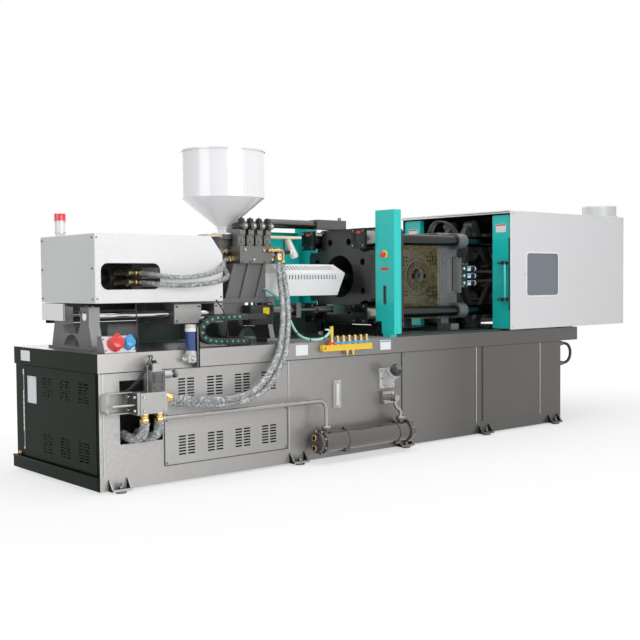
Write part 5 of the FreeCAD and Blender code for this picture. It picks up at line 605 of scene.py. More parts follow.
class Build:
    """Collects simple solids into one mesh; lengths in millimetres."""

    def __init__(self):
        self.mesh = bmesh.new()

    def add(self, verts, faces):
        made = [self.mesh.verts.new(Vector(v) * MM) for v in verts]
        for face in faces:
            self.mesh.faces.new([made[i] for i in face])
        return self

    def skin(self, rings, closed=False):
        """Skin over rings of equally many points: capped, or with the last joined to the first."""
        count, verts = len(rings[0]), [v for ring in rings for v in ring]
        total = len(verts)
        faces = [(low + k, low + (k + 1) % count, (low + count + (k + 1) % count) % total,
                  (low + count + k) % total)
                 for low in range(0, total if closed else total - count, count)
                 for k in range(count)]
        if not closed:
            faces += [tuple(reversed(range(count))), tuple(range(total - count, total))]
        return self.add(verts, faces)

    def box(self, x, y, z):
        return self.add([(i, j, k) for i in x for j in y for k in z], BOX_FACES)

    def slab(self, middle, right, up, size):
        """A box turned to the given right and up directions; size is (right, up, out)."""
        right, up = Vector(right).normalized(), Vector(up).normalized()
        out = right.cross(up)
        half = [value / 2 for value in size]
        return self.add([Vector(middle) + right * i + out * j + up * k
                         for i in (-half[0], half[0]) for j in (-half[2], half[2])
                         for k in (-half[1], half[1])], BOX_FACES)

    def turned(self, start, along, profile, sides=24):
        """A turned solid; profile holds (distance along, radius) pairs."""
        along = Vector(along).normalized()
        return self.skin([[Vector(start) + along * distance + spoke * radius
                           for spoke in spokes(along, sides)] for distance, radius in profile])

    def rod(self, start, along, length, radius, sides, chamfer):
        return self.turned(start, along, [(0, radius - chamfer), (chamfer, radius),
                                          (length - chamfer, radius),
                                          (length, radius - chamfer)], sides)

    def cap_screw(self, place, along, radius):
        """Socket-head screw with its recess."""
        return self.turned(place, along, [(0, radius), (radius, radius),
                                          (radius * 1.2, radius * 0.9),
                                          (radius * 1.2, radius * 0.5),
                                          (radius * 0.6, radius * 0.48)], 14)

    def nut(self, place, along, radius, height):
        return self.turned(place, along, [(0, radius * 0.96), (height * 0.1, radius),
                                          (height * 0.85, radius), (height, radius * 0.9)], 6)

    def nuts(self, places, along, radius, height):
        for place in places:
            self.nut(place, along, radius, height)
        return self

    def bolt_circle(self, centre, along, radius, count, head, turn=0.0):
        along = Vector(along).normalized()
        return self.nuts([Vector(centre) + spoke * radius for spoke in spokes(along, count, turn)],
                         along, head, head * 0.8)

    def hoop(self, centre, along, inner, outer, height, sides=40):
        """Flat ring standing on centre."""
        along = Vector(along).normalized()
        ease = min(height, outer - inner) * 0.2
        section = ((inner, 0), (outer, 0), (outer, height - ease), (outer - ease, height),
                   (inner, height))
        return self.skin([[Vector(centre) + spoke * radius + along * lift
                           for radius, lift in section] for spoke in spokes(along, sides)], True)

    def levels(self, middle, out, size, corner, levels, closed=False):
        """Skin over upright outlines with round corners, each at a (lift, inset) pair."""
        out = Vector(out).normalized()
        up = UPRIGHT if abs(out.z) < 0.95 else Vector(RIGHT)
        up = (up - out * up.dot(out)).normalized()
        side = up.cross(out)
        return self.skin([[Vector(middle) + side * x + up * y + out * lift
                           for x, y in round_corners((size[0] / 2 - inset, size[1] / 2 - inset),
                                                     max(corner - inset, 0.2))]
                          for lift, inset in levels], closed)

    def plate(self, middle, out, size, thick, corner=4.0):
        """Flat plate with round corners standing on a face; out is the way it faces."""
        ease = min(thick * 0.3, corner * 0.5)
        return self.levels(middle, out, size, corner,
                           ((0, 0), (thick - ease, 0), (thick, ease)))

    def border(self, middle, out, size, width, thick, corner):
        """Raised frame with round corners on a face; size is its outer edge."""
        ease = min(thick, width) * 0.25
        return self.levels(middle, out, size, corner,
                           ((0, 0), (thick - ease, 0), (thick, ease), (thick, width - ease),
                            (thick - ease, width), (0, width)), True)

    def loose(self, name, finish, bevel=0.0, slot=None):
        """The piece, which the caller still lets ride or blends."""
        bmesh.ops.recalc_face_normals(self.mesh, faces=self.mesh.faces)
        data = bpy.data.meshes.new(name)
        self.mesh.to_mesh(data)
        self.mesh.free()
        data.materials.append(LOOKS[finish])
        piece = placed(name, data)
        if bevel:
            rounding = piece.modifiers.new("rounding", "BEVEL")
            rounding.width = bevel * MM
            rounding.segments = 2
            rounding.limit_method = "ANGLE"
        data.shade_smooth()
        data.set_sharp_from_angle(angle=SHARP_ANGLE)
        return piece

    def on(self, node, name, finish, bevel=0.0, slot=None):
        """The piece, riding on the body of the named node."""
        ride(self.loose(name, finish, bevel, slot), node)


def screws(name, node, along, radius, places, finish="screw_steel"):
    heads = Build()
    for place in places:
        heads.cap_screw(place, along, radius)
    heads.on(node, name, finish)


# --------------------------------------------------------------------------- flexible lines

def route(points):
    """Smooth points along the NURBS line whose control points are the given ones."""
    data = bpy.data.curves.new("route", "CURVE")
    data.dimensions = "3D"
    spline = data.splines.new("NURBS")
    spline.points.add(len(points) - 1)
    for made, point in zip(spline.points, points):
        made.co = (*(Vector(point) * MM), 1.0)
    spline.order_u = 3
    spline.use_endpoint_u = True
    spline.resolution_u = 12
    carrier = placed("route", data)
    line = bpy.data.meshes.new_from_object(carrier)
    path = [v.co.copy() for v in line.vertices]
    bpy.data.objects.remove(carrier)
    bpy.data.curves.remove(data)
    bpy.data.meshes.remove(line)
    return path


def respaced(path, step):
    """The same line with points a steady distance apart."""
    made, left = [path[0].copy()], step
    for first, second in zip(path, path[1:]):
        length = (second - first).length
        while left < length:
            made.append(first.lerp(second, left / length))
            left += step
        left -= length
    if (made[-1] - path[-1]).length > step * 0.3:
        made.append(path[-1].copy())
    return made


def tube(name, path, radius, finish, sides=16, wrinkle=0.0, seed=0, step=None):
    """Skin round a path in metres; wrinkle crumples it by that many millimetres."""
    chance = random.Random(seed)
    if step:
        path = respaced(path, step * MM)
    mesh = bmesh.new()
    side = None
    rings = []
    phase = chance.random() * 6.28
    for index, point in enumerate(path):
        before, after = path[max(index - 1, 0)], path[min(index + 1, len(path) - 1)]
        along = (after - before).normalized()
        side = along.orthogonal() if side is None else side - along * side.dot(along)
        side.normalize()
        pinch = 0.6 * wrinkle * math.sin(index * 1.9 + phase) if wrinkle else 0.0
        ring = []
        for turn in range(sides):
            spoke = Quaternion(along, 2 * math.pi * turn / sides) @ side
            crease = pinch + wrinkle * (chance.random() - 0.5) * 1.6 if wrinkle else 0.0
            ring.append(mesh.verts.new(point + spoke * (radius + crease) * MM))
        rings.append(ring)
    for first, second in zip(rings, rings[1:]):
        for turn in range(sides):
            other = (turn + 1) % sides
            mesh.faces.new((first[turn], first[other], second[other], second[turn]))
    mesh.faces.new(list(reversed(rings[0])))
    mesh.faces.new(rings[-1])
    data = bpy.data.meshes.new(name)
    mesh.to_mesh(data)
    mesh.free()
    data.shade_smooth()
    data.materials.append(LOOKS[finish])
    piece = placed(name, data)
    return piece


def held_line(name, points, radius, finish, node, bodies, stiffness="medium", sleeve=None):
    """A hose or cable held at both ends; bodies holds one body, or the two that it joins."""
    path = route(points)
    core = tube(name, path, radius, finish)
    with_pieces = []
    if sleeve:
        with_pieces.append(tube(name + "_sleeve", path, sleeve, "clear_film", 14, 1.6,
                                len(name), 9))
    for piece in [core] + with_pieces:
        if len(bodies) == 1:
            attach(piece, bodies[0])
        else:
            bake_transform(piece, bodies[0], bodies[1], start=path[0], end=path[-1])
    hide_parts(node)


PRESSURE_HOSE = [
    (-2216, -680, 542), (-2100, -683, 526), (-1960, -688, 506), (-1805, -690, 495),
    (-1660, -690, 512), (-1535, -672, 556), (-1428, -648, 648), (-1338, -622, 762),
    (-1268, -562, 882), (-1184, -468, 1000), (-1116, -372, 1115), (-1072, -290, 1233),
    (-1041, -240, 1354)]
RETURN_HOSE = [
    (-2216, -625, 505), (-2095, -632, 492), (-1945, -640, 472), (-1790, -648, 462),
    (-1640, -658, 474), (-1502, -668, 518), (-1395, -654, 610), (-1299, -630, 731),
    (-1230, -574, 866), (-1140, -470, 985), (-1072, -372, 1100), (-1022, -286, 1218),
    (-987, -210, 1336)]
# These three are traced from the carriage and laid from the machine.
WATER_HOSE = [
    (-1130, -178, 1170), (-1122, -226, 1160), (-1097, -270, 1124), (-1066, -306, 1068),
    (-1056, -352, 1003), (-1066, -405, 938), (-1076, -462, 882), (-1072, -524, 842),
    (-1046, -584, 828), (-1003, -617, 826), (-952, -618, 838), (-908, -607, 858),
    (-882, -596, 878)]
CONTROL_CABLE = [
    (-1651, -363.9, 1104), (-1652, -404, 1066), (-1656, -452, 1036), (-1662, -482, 990),
    (-1659, -490, 925), (-1648, -488, 862), (-1642, -486, 810.7)]
SENSOR_CABLE = [
    (-2241, -359.5, 1096.3), (-2243, -366, 1040), (-2252, -390, 985), (-2266, -420, 930),
    (-2282, -446, 872), (-2292, -462, 811.2)]
UPPER_MOTOR_HOSE = [
    (-2150, -270, 1281), (-2123, -347, 1270), (-2079, -400, 1260), (-2019, -434, 1252),
    (-1935, -452, 1249), (-1845, -468, 1258), (-1754, -476, 1274), (-1673, -454, 1296),
    (-1610, -399, 1324), (-1575, -324, 1356), (-1575, -236, 1388), (-1546, -166, 1409),
    (-1493, -113, 1425), (-1423, -84, 1430)]
LOWER_MOTOR_HOSE = [
    (-2150, -270, 1221), (-2125, -342, 1213), (-2081, -395, 1207), (-2021, -429, 1202),
    (-1925, -447, 1200), (-1825, -465, 1207), (-1724, -476, 1219), (-1643, -454, 1237),
    (-1580, -399, 1263), (-1540, -306, 1300), (-1514, -225, 1334), (-1464, -165, 1360),
    (-1394, -130, 1374)]
PLATEN_HOSE = [
    (850, -262, 1360), (872, -246, 1432), (896, -212, 1502), (904, -176, 1578),
    (882, -146, 1644), (826, -120, 1694), (748, -102, 1704), (690, -92, 1664),
    (672, -86, 1600)]
END_CABLE = [(1792, -540, 674), (1862, -540, 674), (1912, -540, 624), (1912, -540, 554),
             (1862, -540, 504), (1792, -540, 504)]
GAUGE_WIRE = [(-2262, -569.7, 786), (-2276, -608, 784), (-2312, -648, 762), (-2356, -672, 716),
              (-2400, -674, 662), (-2436, -652, 616), (-2456, -618, 588)]
CHAIN_PATH = [(-1472, 993), (-1592, 996), (-1768, 990), (-1843, 918), (-1790, 840),
              (-1570, 837), (-1458, 832)]
CHAIN_PITCH, CHAIN_Y = 43, -426
PLATEN_HOSE_STEP, GAUGE_WIRE_STEP = -24, -16
FEED, DRIVE = ("machine", "carriage"), ("injection_drive", "carriage")


def moved(points, x):
    return [(point[0] + x, point[1], point[2]) for point in points]


def make_lines():
    for name, *values in (
            ("pressure_hose", PRESSURE_HOSE, 17, "hose_braid", "carriage_hoses", FEED,
             "medium", 20),
            ("return_hose", RETURN_HOSE, 17, "hose_braid", "carriage_hoses", FEED,
             "medium", 20),
            ("water_hose", WATER_HOSE[::-1], 9, "mint_hose", "carriage_hoses", FEED, "limp"),
            ("control_cable", CONTROL_CABLE[::-1], 4, "rubber", "carriage_hoses", FEED),
            ("sensor_cable", SENSOR_CABLE[::-1], 4, "rubber", "carriage_hoses", FEED),
            ("upper_motor_hose", UPPER_MOTOR_HOSE, 14, "hose_braid", "motor_hoses", DRIVE,
             "medium", 16.5),
            ("lower_motor_hose", LOWER_MOTOR_HOSE, 14, "hose_braid", "motor_hoses", DRIVE,
             "medium", 16.5)):
        held_line(name, *values)
    for index in range(3):
        held_line(f"platen_hose_{index + 1}", moved(PLATEN_HOSE, PLATEN_HOSE_STEP * index), 7,
                  "rubber", "platen_hoses", ["moving_platen"])
    held_line("end_cable", END_CABLE, 12, "rubber", "fixed_cables", ["machine"], "limp")
    for index in range(2):
        held_line(f"gauge_wire_{index + 1}", moved(GAUGE_WIRE, GAUGE_WIRE_STEP * index), 4,
                  "rubber", "fixed_cables", ["machine"])


def make_ties():
    """Black ties round the green hose."""
    path = route(WATER_HOSE[::-1])
    for index in (20, 44, 66):
        here, there = path[index] / MM, path[index + 1] / MM
        along = there - here
        tie = Build().hoop(here, along, 9.2, 11.4, 6, 24)
        tie.slab(here + along.orthogonal().normalized() * 12, along, along.orthogonal(), (7, 8, 8))
        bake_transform(tie.loose(f"hose_tie_{index}", "black_plastic"), *FEED, start=path[0],
                 end=path[-1])


def make_drag_chain():
    """Open plastic links with snap-on lids; the lower run stays and the upper run travels."""
    links, dots = Build(), Build()
    path = route([(x, CHAIN_Y, z) for x, z in CHAIN_PATH])
    points = [p / MM for p in respaced(path, CHAIN_PITCH * MM)]
    for index, (here, there) in enumerate(zip(points, points[1:])):
        along = (there - here).normalized()
        up = Vector(BACK).cross(along) * -1
        middle = (here + there) / 2
        length = (there - here).length
        for y, inset in ((-28, 0), (28, 0), (-23, 4), (23, 4)):
            links.slab(middle + Vector((0, y, 0)) + along * (10 if inset else -3), along, up,
                       (length - inset * 2, 41 - inset * 2, 5))
        for side in (-1, 1):
            links.slab(middle + up * side * 18.5, along, up, (length * 0.42, 4, 56))
        face = middle + Vector((0, -30.5, 0)) - along * 4
        links.turned(face, FRONT, [(0, 15), (1.6, 14.4), (1.7, 11), (2.4, 10)], 20)
        if not index or index > len(points) - 3:
            links.turned(face, FRONT, [(2, 6), (5, 6), (6, 4)], 14)
            continue
        for place, out in ((face, FRONT), (face + Vector((0, 61, 0)), BACK)):
            dots.turned(place, out, [(1, 7.5), (3.2, 7.5), (4.4, 6), (4.6, 3)], 18)
    ends = {"start": mm(-1650, CHAIN_Y, 842), "end": mm(-1650, CHAIN_Y, 990)}
    piece = links.loose("chain_links", "chain_plastic", 0.8)
    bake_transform(piece, *FEED, **ends)
    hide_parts("drag_chain")
    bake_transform(dots.loose("chain_dots", "green_plastic"), *FEED, **ends)


make_lines()


# ------------------------------------------------------------------------------- fittings

SIDES = ((-1, FRONT), (1, BACK))
DECK = 811                                    # top of the base, just above the wear strips
BASE_FACE, GUARD_FACE = 563, 604              # outer faces of the base and the clamp guard
HINGE = (-2614, 431.3)                        # X and Y of the cabinet door's axis
HOPPER_X, AXIS_Z = -1334, 1255                # hopper, height of the clamp axis
TIE_BARS = [(y, z) for y in (-290, 290) for z in (977, 1533)]


def base_panels():
    """Seams, edge trims and screws of the sheet panels, bare plates, hinge and earth studs; the bright trims
    partly paint the highlights along the panel edges.
    """
    seams, highlight_trims, heads = Build(), Build(), Build()
    for turn, out in SIDES:
        face = turn * BASE_FACE
        seams.border((-1704.5, face, 258), out, (947, 292), 5, 2.2, 4)
        seams.box((-2179, -1230), (face, face + turn * 1.6), (405, 409))
        for x, z, width, height in ((-1704.5, 549, 947, 292), (-1704.5, 258, 947, 292),
                                    (239.5, 404, 793, 584), (1093.5, 404, 707, 584)):
            for place in corner_places((x, face, z), out, (width, height), 17):
                heads.turned(place, out, [(0, 8), (2.4, 7.4), (3.4, 5), (3.4, 2.6), (1.6, 2.4)],
                             16)
        # Bright strips on the panel edges: partly trims, partly painted highlight where the edges catch the
        # light.
        for x in (-2586, -1222, 655, 1458):
            highlight_trims.box((x, x + 6), (face - turn * 4, face + turn * 2.5), (100, 700))
        for x in (-164, 730):
            seams.box((x, x + 5), (face - turn * 4, face + turn * 1.6), (104, 700))
        seams.box((-2600, 1738), (face - turn * 4, face + turn * 3), (695, 700))
    seams.on("base_frame", "panel_seams", "seam_shadow")
    highlight_trims.on("base_frame", "panel_edge_highlight_trims", "edge_steel", 0.6)
    heads.on("base_frame", "panel_screws", "screw_steel")

    labels = Build().plate((-2616, 395, 757), LEFT, (133, 67), 1.6, 3)
    labels.plate((1250, 568, 757), BACK, (120, 66), 1.6, 3)
    for x in (-1107, -331):
        labels.plate((x, -568, 760), FRONT, (105, 70), 1.6, 3)
    labels.on("base_frame", "bare_labels", "bare_label")
    Build().plate((-331, -569.5, 786), FRONT, (97, 9), 0.8, 1).on(
        "base_frame", "label_strips", "blue_plastic")
    middle, size = (308, 544), (128, 172)
    plate = Build().plate((HINGE[0], *middle), LEFT, size, 2.4, 4)
    plate.border((HINGE[0] - 2.3, *middle), LEFT, (116, 160), 3, 0.8, 3)
    plate.on("cabinet_door", "end_plate", "bare_plate")
    screws("end_plate_rivets", "cabinet_door", LEFT, 4,
           corner_places((HINGE[0] - 2.4, *middle), LEFT, size, 9), "bright_screw")
    hinge = Build()
    for z in range(150, 660, 40):
        hinge.turned((*HINGE, z), UP, [(0, 4), (1.5, 5.5), (37, 5.5), (38.5, 4)], 16)
    hinge.on("base_frame", "door_hinge", "edge_steel")
    kick = Build().box((-2634, -2612), (-572, 572), (22, 104))
    kick.box((-2638, -2612), (-572, 572), (92, 104))
    kick.on("base_frame", "end_kick_plate", "end_green", 5.0)
    studs = Build()
    for y in (498, 516):
        studs.nut((-2608, y, 118), LEFT, 11, 9).rod((-2616, y, 118), LEFT, 9, 4.5, 12, 1)
    studs.on("base_frame", "earth_studs", "brass", slot="zinc")
    feet = Build()
    for x in (-2491, -1151, -151, 749, 1639):
        for y in (-590, 590):
            feet.nut((x, y, 26), UP, 15, 13)
            feet.turned((x, y, 0), UP, [(0, 32), (5, 34), (11, 30), (12, 12), (12.5, 10)])
            feet.rod((x, y, 26), UP, 34, 8, 12, 1.5)
    feet.on("base_frame", "levelling_feet", "screw_steel")


def deck_details():
    """Splash shield, tread plate, the fixed platen's skirt and duct, the panel's flange."""
    ribs = Build()
    for index in range(26):
        ribs.turned((-2060 + index * 9, 326, 838), UP, [(0, 2.2), (3, 3.2), (102, 3.2),
                                                       (105, 2.2)], 8)
    ribs.on("base_frame", "shield_ribs", "rib_sheen")
    length = (-1494, -200)
    shield = Build().box(length, (331, 334), (DECK, 958)).box(length, (322, 334), (955, 958))
    shield.box(length, (318, 334), (DECK, 814))
    for x in (-1480, -1060, -640, -214):
        shield.box((x, x + 4), (322, 334), (DECK, 958))
    shield.on("base_frame", "shield_extension", "shield_green", 0.8)
    tread, pitch = Build().plate((-700, -372, 810), UP, (370, 900), 2.4, 6), 30
    for index in range(30):
        for step in range(12):
            place = (-1130 + pitch * (index + step % 2 / 2), -540 + step * 29, 812.6)
            tread.slab(place, (1, 1 if (index + step) % 2 else -1, 0), UP, (15, 1.2, 4))
    tread.on("base_frame", "deck_tread_plate", "deck_tread")

    skirt = Build().box((-148, -144), (-330, 330), (DECK, 886))
    for y in ((-330, -326), (326, 330)):
        skirt.box((-148, 52), y, (DECK, 886))
    skirt.box((-176, -144), (-330, 330), (DECK, 815))
    skirt.nuts([(-162, y, 815) for y in range(-300, 301, 100)], UP, 9, 7)
    skirt.on("fixed_platen", "platen_skirt", "dark_casting", 1.0)
    flange = Build().box((-211, -140), (600, GUARD_FACE), (828, 1680))
    flange.box((-144, -140), (411, GUARD_FACE), (828, 1680))
    flange.box((-211, -140), (582, GUARD_FACE), (1676, 1680))
    flange.on("operator_panel", "panel_flange", "teal_paint", 1.0)
    duct = Build().box((-146, -70), (364, 392), (830, 1604))
    duct.box((-152, -64), (392, 396), (826, 1608))
    duct.on("fixed_platen", "platen_cable_duct", "dark_casting", 1.5)
    screws("duct_screws", "fixed_platen", BACK, 5,
           [(x, 396, z) for x in (-142, -74) for z in (850, 1217, 1584)])


def cover_details():
    """End plate, window edge, rear skirt and screws of the cover, the near-black skirt partly painted shade
    beneath the cover; the lamp on it.
    """
    face = 361
    Build().plate((-2512, 0, 1306), LEFT, (714, 410), 3, 5).on(
        "injection_cover", "cover_end_plate", "pale_grey_paint")
    screws("cover_end_screws", "injection_cover", LEFT, 6,
           [(-2515, y, z) for y in (-336, 336) for z in (1122, 1306, 1490)])
    screws("cover_side_screws", "injection_cover", FRONT, 5,
           [(-1612, -face, 1240), (-1612, -face, 1125), (-2500, -face, 1125),
            (-2500, -face, 1490)])
    screws("cover_back_screws", "injection_cover", BACK, 5,
           [(x, face, z) for x in (-2490, -2055, -1620) for z in (1125, 1400)])
    Build().border((-2271, -face, 1258), FRONT, (418, 170), 5, 2.4, 50).on(
        "injection_cover", "cover_window_edge", "white_plastic")
    # The rear skirt is near black: partly a flange, partly painted shade under the cover's back.
    length = (-2494, -1612)
    skirt = Build().box(length, (345, 348), (964, 1093)).box(length, (300, 348), (964, 967))
    skirt.box(length, (330, face), (1090, 1093))
    skirt.on("injection_cover", "cover_rear_shade_skirt", "seam_shadow", 0.8)
    Build().turned((-2430, 248, 1618), UP, [(0, 35), (2, 37), (42, 37.5), (46, 36), (48, 30)],
                   36).on("warning_lamp", "lamp_red_band", "lamp_red")
    rings = Build()
    for z in (1540, 1610):
        rings.hoop((-2430, 248, z), UP, 33, 36, 5)
    rings.cap_screw((-2430, 214, 1530), FRONT, 5)
    rings.on("warning_lamp", "lamp_rings", "band_steel", slot="zinc")


def manifold_details():
    """Unions of the hoses, valves, coils, plugs and the brass elbow."""
    face, port_y = -212, -262
    brass, nickel = Build(), Build()
    for hose, radius in ((UPPER_MOTOR_HOSE, 23), (LOWER_MOTOR_HOSE, 23), (PRESSURE_HOSE, 26),
                         (RETURN_HOSE, 26)):
        mouth = Vector(hose[-1])
        way = Vector(RIGHT) if radius == 23 else (mouth - Vector(hose[-2])).normalized()
        brass.nut(mouth + way * 8, way, radius, 20)
        brass.turned(mouth + way * 28, way, [(0, radius * 0.84), (5, radius * 0.9),
                                            (10, radius * 0.84)])
        nickel.nut(mouth + way * 42, way, radius * 0.98, 17)
    brass.on("injection_manifold", "brass_unions", "brass")
    nickel.on("injection_manifold", "nickel_unions", "bright_screw")

    coils, nuts, plugs, bodies, spool = (Build() for _ in range(5))
    for x in range(-1311, -1088, 74):
        coils.turned((x, -206, 1600), BACK, [(0, 22), (2, 26), (38, 26), (39, 24.5), (52, 24.5),
                                            (53, 26), (92, 26), (94, 22)])
        for y, way in ((-226, FRONT), (-92, BACK)):
            nuts.nut((x, y, 1600), way, 13, 10)
            nuts.turned((x, y, 1600), way, [(8, 7), (16, 7), (18, 5)], 16)
        plugs.box((x - 15, x + 15), (-198, -162), (1622, 1652))
        plugs.turned((x, -180, 1650), UP, [(0, 12), (4, 12), (5, 8), (9, 7)], 18)
        bodies.plate((x, -178, 1500), FRONT, (54, 66), 4, 5)
        bodies.plate((x, -192, 1560), FRONT, (42, 30), 3, 4)
        spool.turned((x, -181, 1500), FRONT, [(0, 15), (6, 15), (8, 12), (11, 12), (11, 5)], 20)
        for place in corner_places((x, -182, 1500), FRONT, (38, 48), 0):
            spool.cap_screw(place, FRONT, 4.5)
    coils.on("injection_manifold", "valve_coils", "black_plastic")
    nuts.on("injection_manifold", "coil_nuts", "bright_screw")
    plugs.on("injection_manifold", "coil_plugs", "black_plastic", 3.0)
    bodies.on("injection_manifold", "valve_faces", "valve_grey", 0.8)
    spool.on("injection_manifold", "valve_spools", "screw_steel")
    screws("manifold_plugs", "injection_manifold", FRONT, 10,
           [(-1310, face, 1438), (-1236, face, 1372), (-1150, face, 1436), (-1080, face, 1372)],
           "bright_screw")
    screws("manifold_foot_bolts", "injection_manifold", FRONT, 7,
           [(x, face, 1356) for x in (-1330, -1262, -1140, -1066)])

    elbow = route([(-1096, -232, 1432), (-1034, -232, 1436), (-994, -229, 1434),
                   (-980, -222, 1404), (-985, face, 1352)])
    ride(tube("manifold_elbow", elbow, 10, "brass"), "injection_manifold")
    ends = Build().nuts([(-1096, -232, 1433), (-1040, -232, 1433)], RIGHT, 15, 14)
    ends.turned((-1120, -226, 1433), RIGHT, [(0, 9), (4, 13), (22, 13), (24, 10)], 20)
    ends.on("injection_manifold", "manifold_elbow_nuts", "brass")
    ports, rings = Build(), Build()
    for z in (1281, 1221):
        ports.turned((-2246, port_y, z), RIGHT, [(0, 20), (4, 25), (50, 25), (54, 22), (84, 22),
                                               (88, 18), (100, 18)], 28)
        ports.turned((-2226, port_y, z), BACK, [(0, 20), (140, 20), (150, 24)])
        rings.hoop((-2194, port_y, z), RIGHT, 20, 26, 8, 28).nut((-2164, -264, z), RIGHT, 22, 14)
    ports.on("hydraulic_motor", "motor_ports", "olive_steel")
    rings.on("hydraulic_motor", "motor_port_rings", "brass")


def carriage_details():
    """Bearing faces, terminal box, hopper seams, hopper gate and the rod stands."""
    bearing, places = Build(), []
    for x, size, inset in ((-1785, (204, 124), 16), (-1543, (70, 124), 14)):
        bearing.plate((x, -231, 1016), FRONT, size, 4, 5)
        places += corner_places((x, -235, 1016), FRONT, size, inset)
    bearing.on("carriage_frame", "bearing_faces", "block_steel", 0.5)
    screws("bearing_screws", "carriage_frame", FRONT, 7, places)

    x, z, size = -1257, 996, (188, 120)
    lid = Build().plate((x, -330, z), FRONT, size, 4, 8)
    lid.plate((x, -334, z), FRONT, (150, 84), 1.2, 6)
    lid.on("terminal_box", "terminal_lid", "black_plastic")
    screws("terminal_screws", "terminal_box", FRONT, 5,
           corner_places((x, -334, z), FRONT, size, 12))
    Build().plate((-1224, -335.2, 1022), FRONT, (54, 46), 1, 5).on(
        "terminal_box", "terminal_plate", "yellow_plastic")
    glands = Build()
    for x in (-1330, -1290, -1225, -1185):
        glands.nut((x, -290, 1062), UP, 11, 9)
        glands.turned((x, -290, 1071), UP, [(0, 9.5), (8, 9), (12, 6)], 18)
    glands.on("terminal_box", "terminal_glands", "rubber", slot="black_plastic")

    seams = Build()
    for z, inner, outer, height, sides in ((2108, 287, 293, 12, 72), (1792, 286, 290.5, 7, 72),
                                           (1588, 40, 56, 8, 48), (1547, 40, 62, 7, 48)):
        seams.hoop((HOPPER_X, 0, z), UP, inner, outer, height, sides)
    for y in ((-290, -286), (286, 290)):
        seams.box((HOPPER_X - 3, HOPPER_X + 3), y, (1800, 2108))
    seams.on("hopper", "hopper_seams", "hopper_white", 0.5)
    Build().bolt_circle((HOPPER_X, 0, 1553), UP, 54, 6, 4.6).on(
        "hopper", "hopper_foot_bolts", "screw_steel")
    grip = Build().turned((-791, -30, 1529), (0.5, 0, -1),
                          [(0, 17), (2, 20), (60, 23), (128, 28), (143, 28.5), (149, 25),
                           (150, 18)], 28)
    grip.on("hopper_gate", "gate_handle_grip", "white_plastic")
    label = Build().plate((-700, -60, 1538), FRONT, (30, 13), 1, 2)
    label.plate((-686, 0, 1538), RIGHT, (86, 13), 1, 2)
    label.on("hopper_gate", "gate_bare_label", "bare_label")
    knob = Build().turned((-926, -100, 1430), RIGHT,
                          [(0, 12), (3, 19), (12, 22), (60, 22), (70, 17), (92, 16), (94, 12)],
                          28)
    knob.rod((-880, -100, 1450), UP, 72, 7, 16, 1)
    knob.on("hopper_gate", "gate_stop", "black_plastic")
    Build().turned((-832, -100, 1430), RIGHT, [(0, 15), (4, 18), (18, 18), (23, 14), (24, 8)],
                   28).on("hopper_gate", "gate_stop_tip", "white_plastic")

    bolts = Build()
    for y in (-213, -137, 137, 213):
        bolts.nuts([(x, y, 1082) for x in (-1860, -1785, -1710, -1566, -1520)], UP, 9, 7)
        bolts.nuts([(x, y, 1072) for x in (-2453, -1120)], UP, 10, 8)
    for y in (-231, -175, -119, 119, 175, 231):
        bolts.turned((-2490, y, 1040), LEFT, [(0, 7), (6, 7), (6, 3.5), (3, 3.2)], 14)
    bolts.on("rod_stands", "slide_bolts", "screw_steel")
    tail = Build().box((-2512, -2509), (62, 361), (984, 1092))
    for y in ((358, 361), (62, 65)):
        tail.box((-2512, -2500), y, (984, 1092))
    tail.box((-2509, -2490), (120, 230), (1000, 1050))
    tail.on("rod_stands", "rod_end_guard", "white_paint", 0.8)
    lugs = Build()
    for y in (-212, 212):
        lugs.turned((-2470, y, 870), (0, y, 0), [(0, 16), (4, 20), (16, 20), (20, 14), (20, 8)],
                    22)
        lugs.nut((-2440, y * 1.05, 842), UP, 11, 10)
    lugs.on("rod_stands", "stand_fittings", "bright_screw")


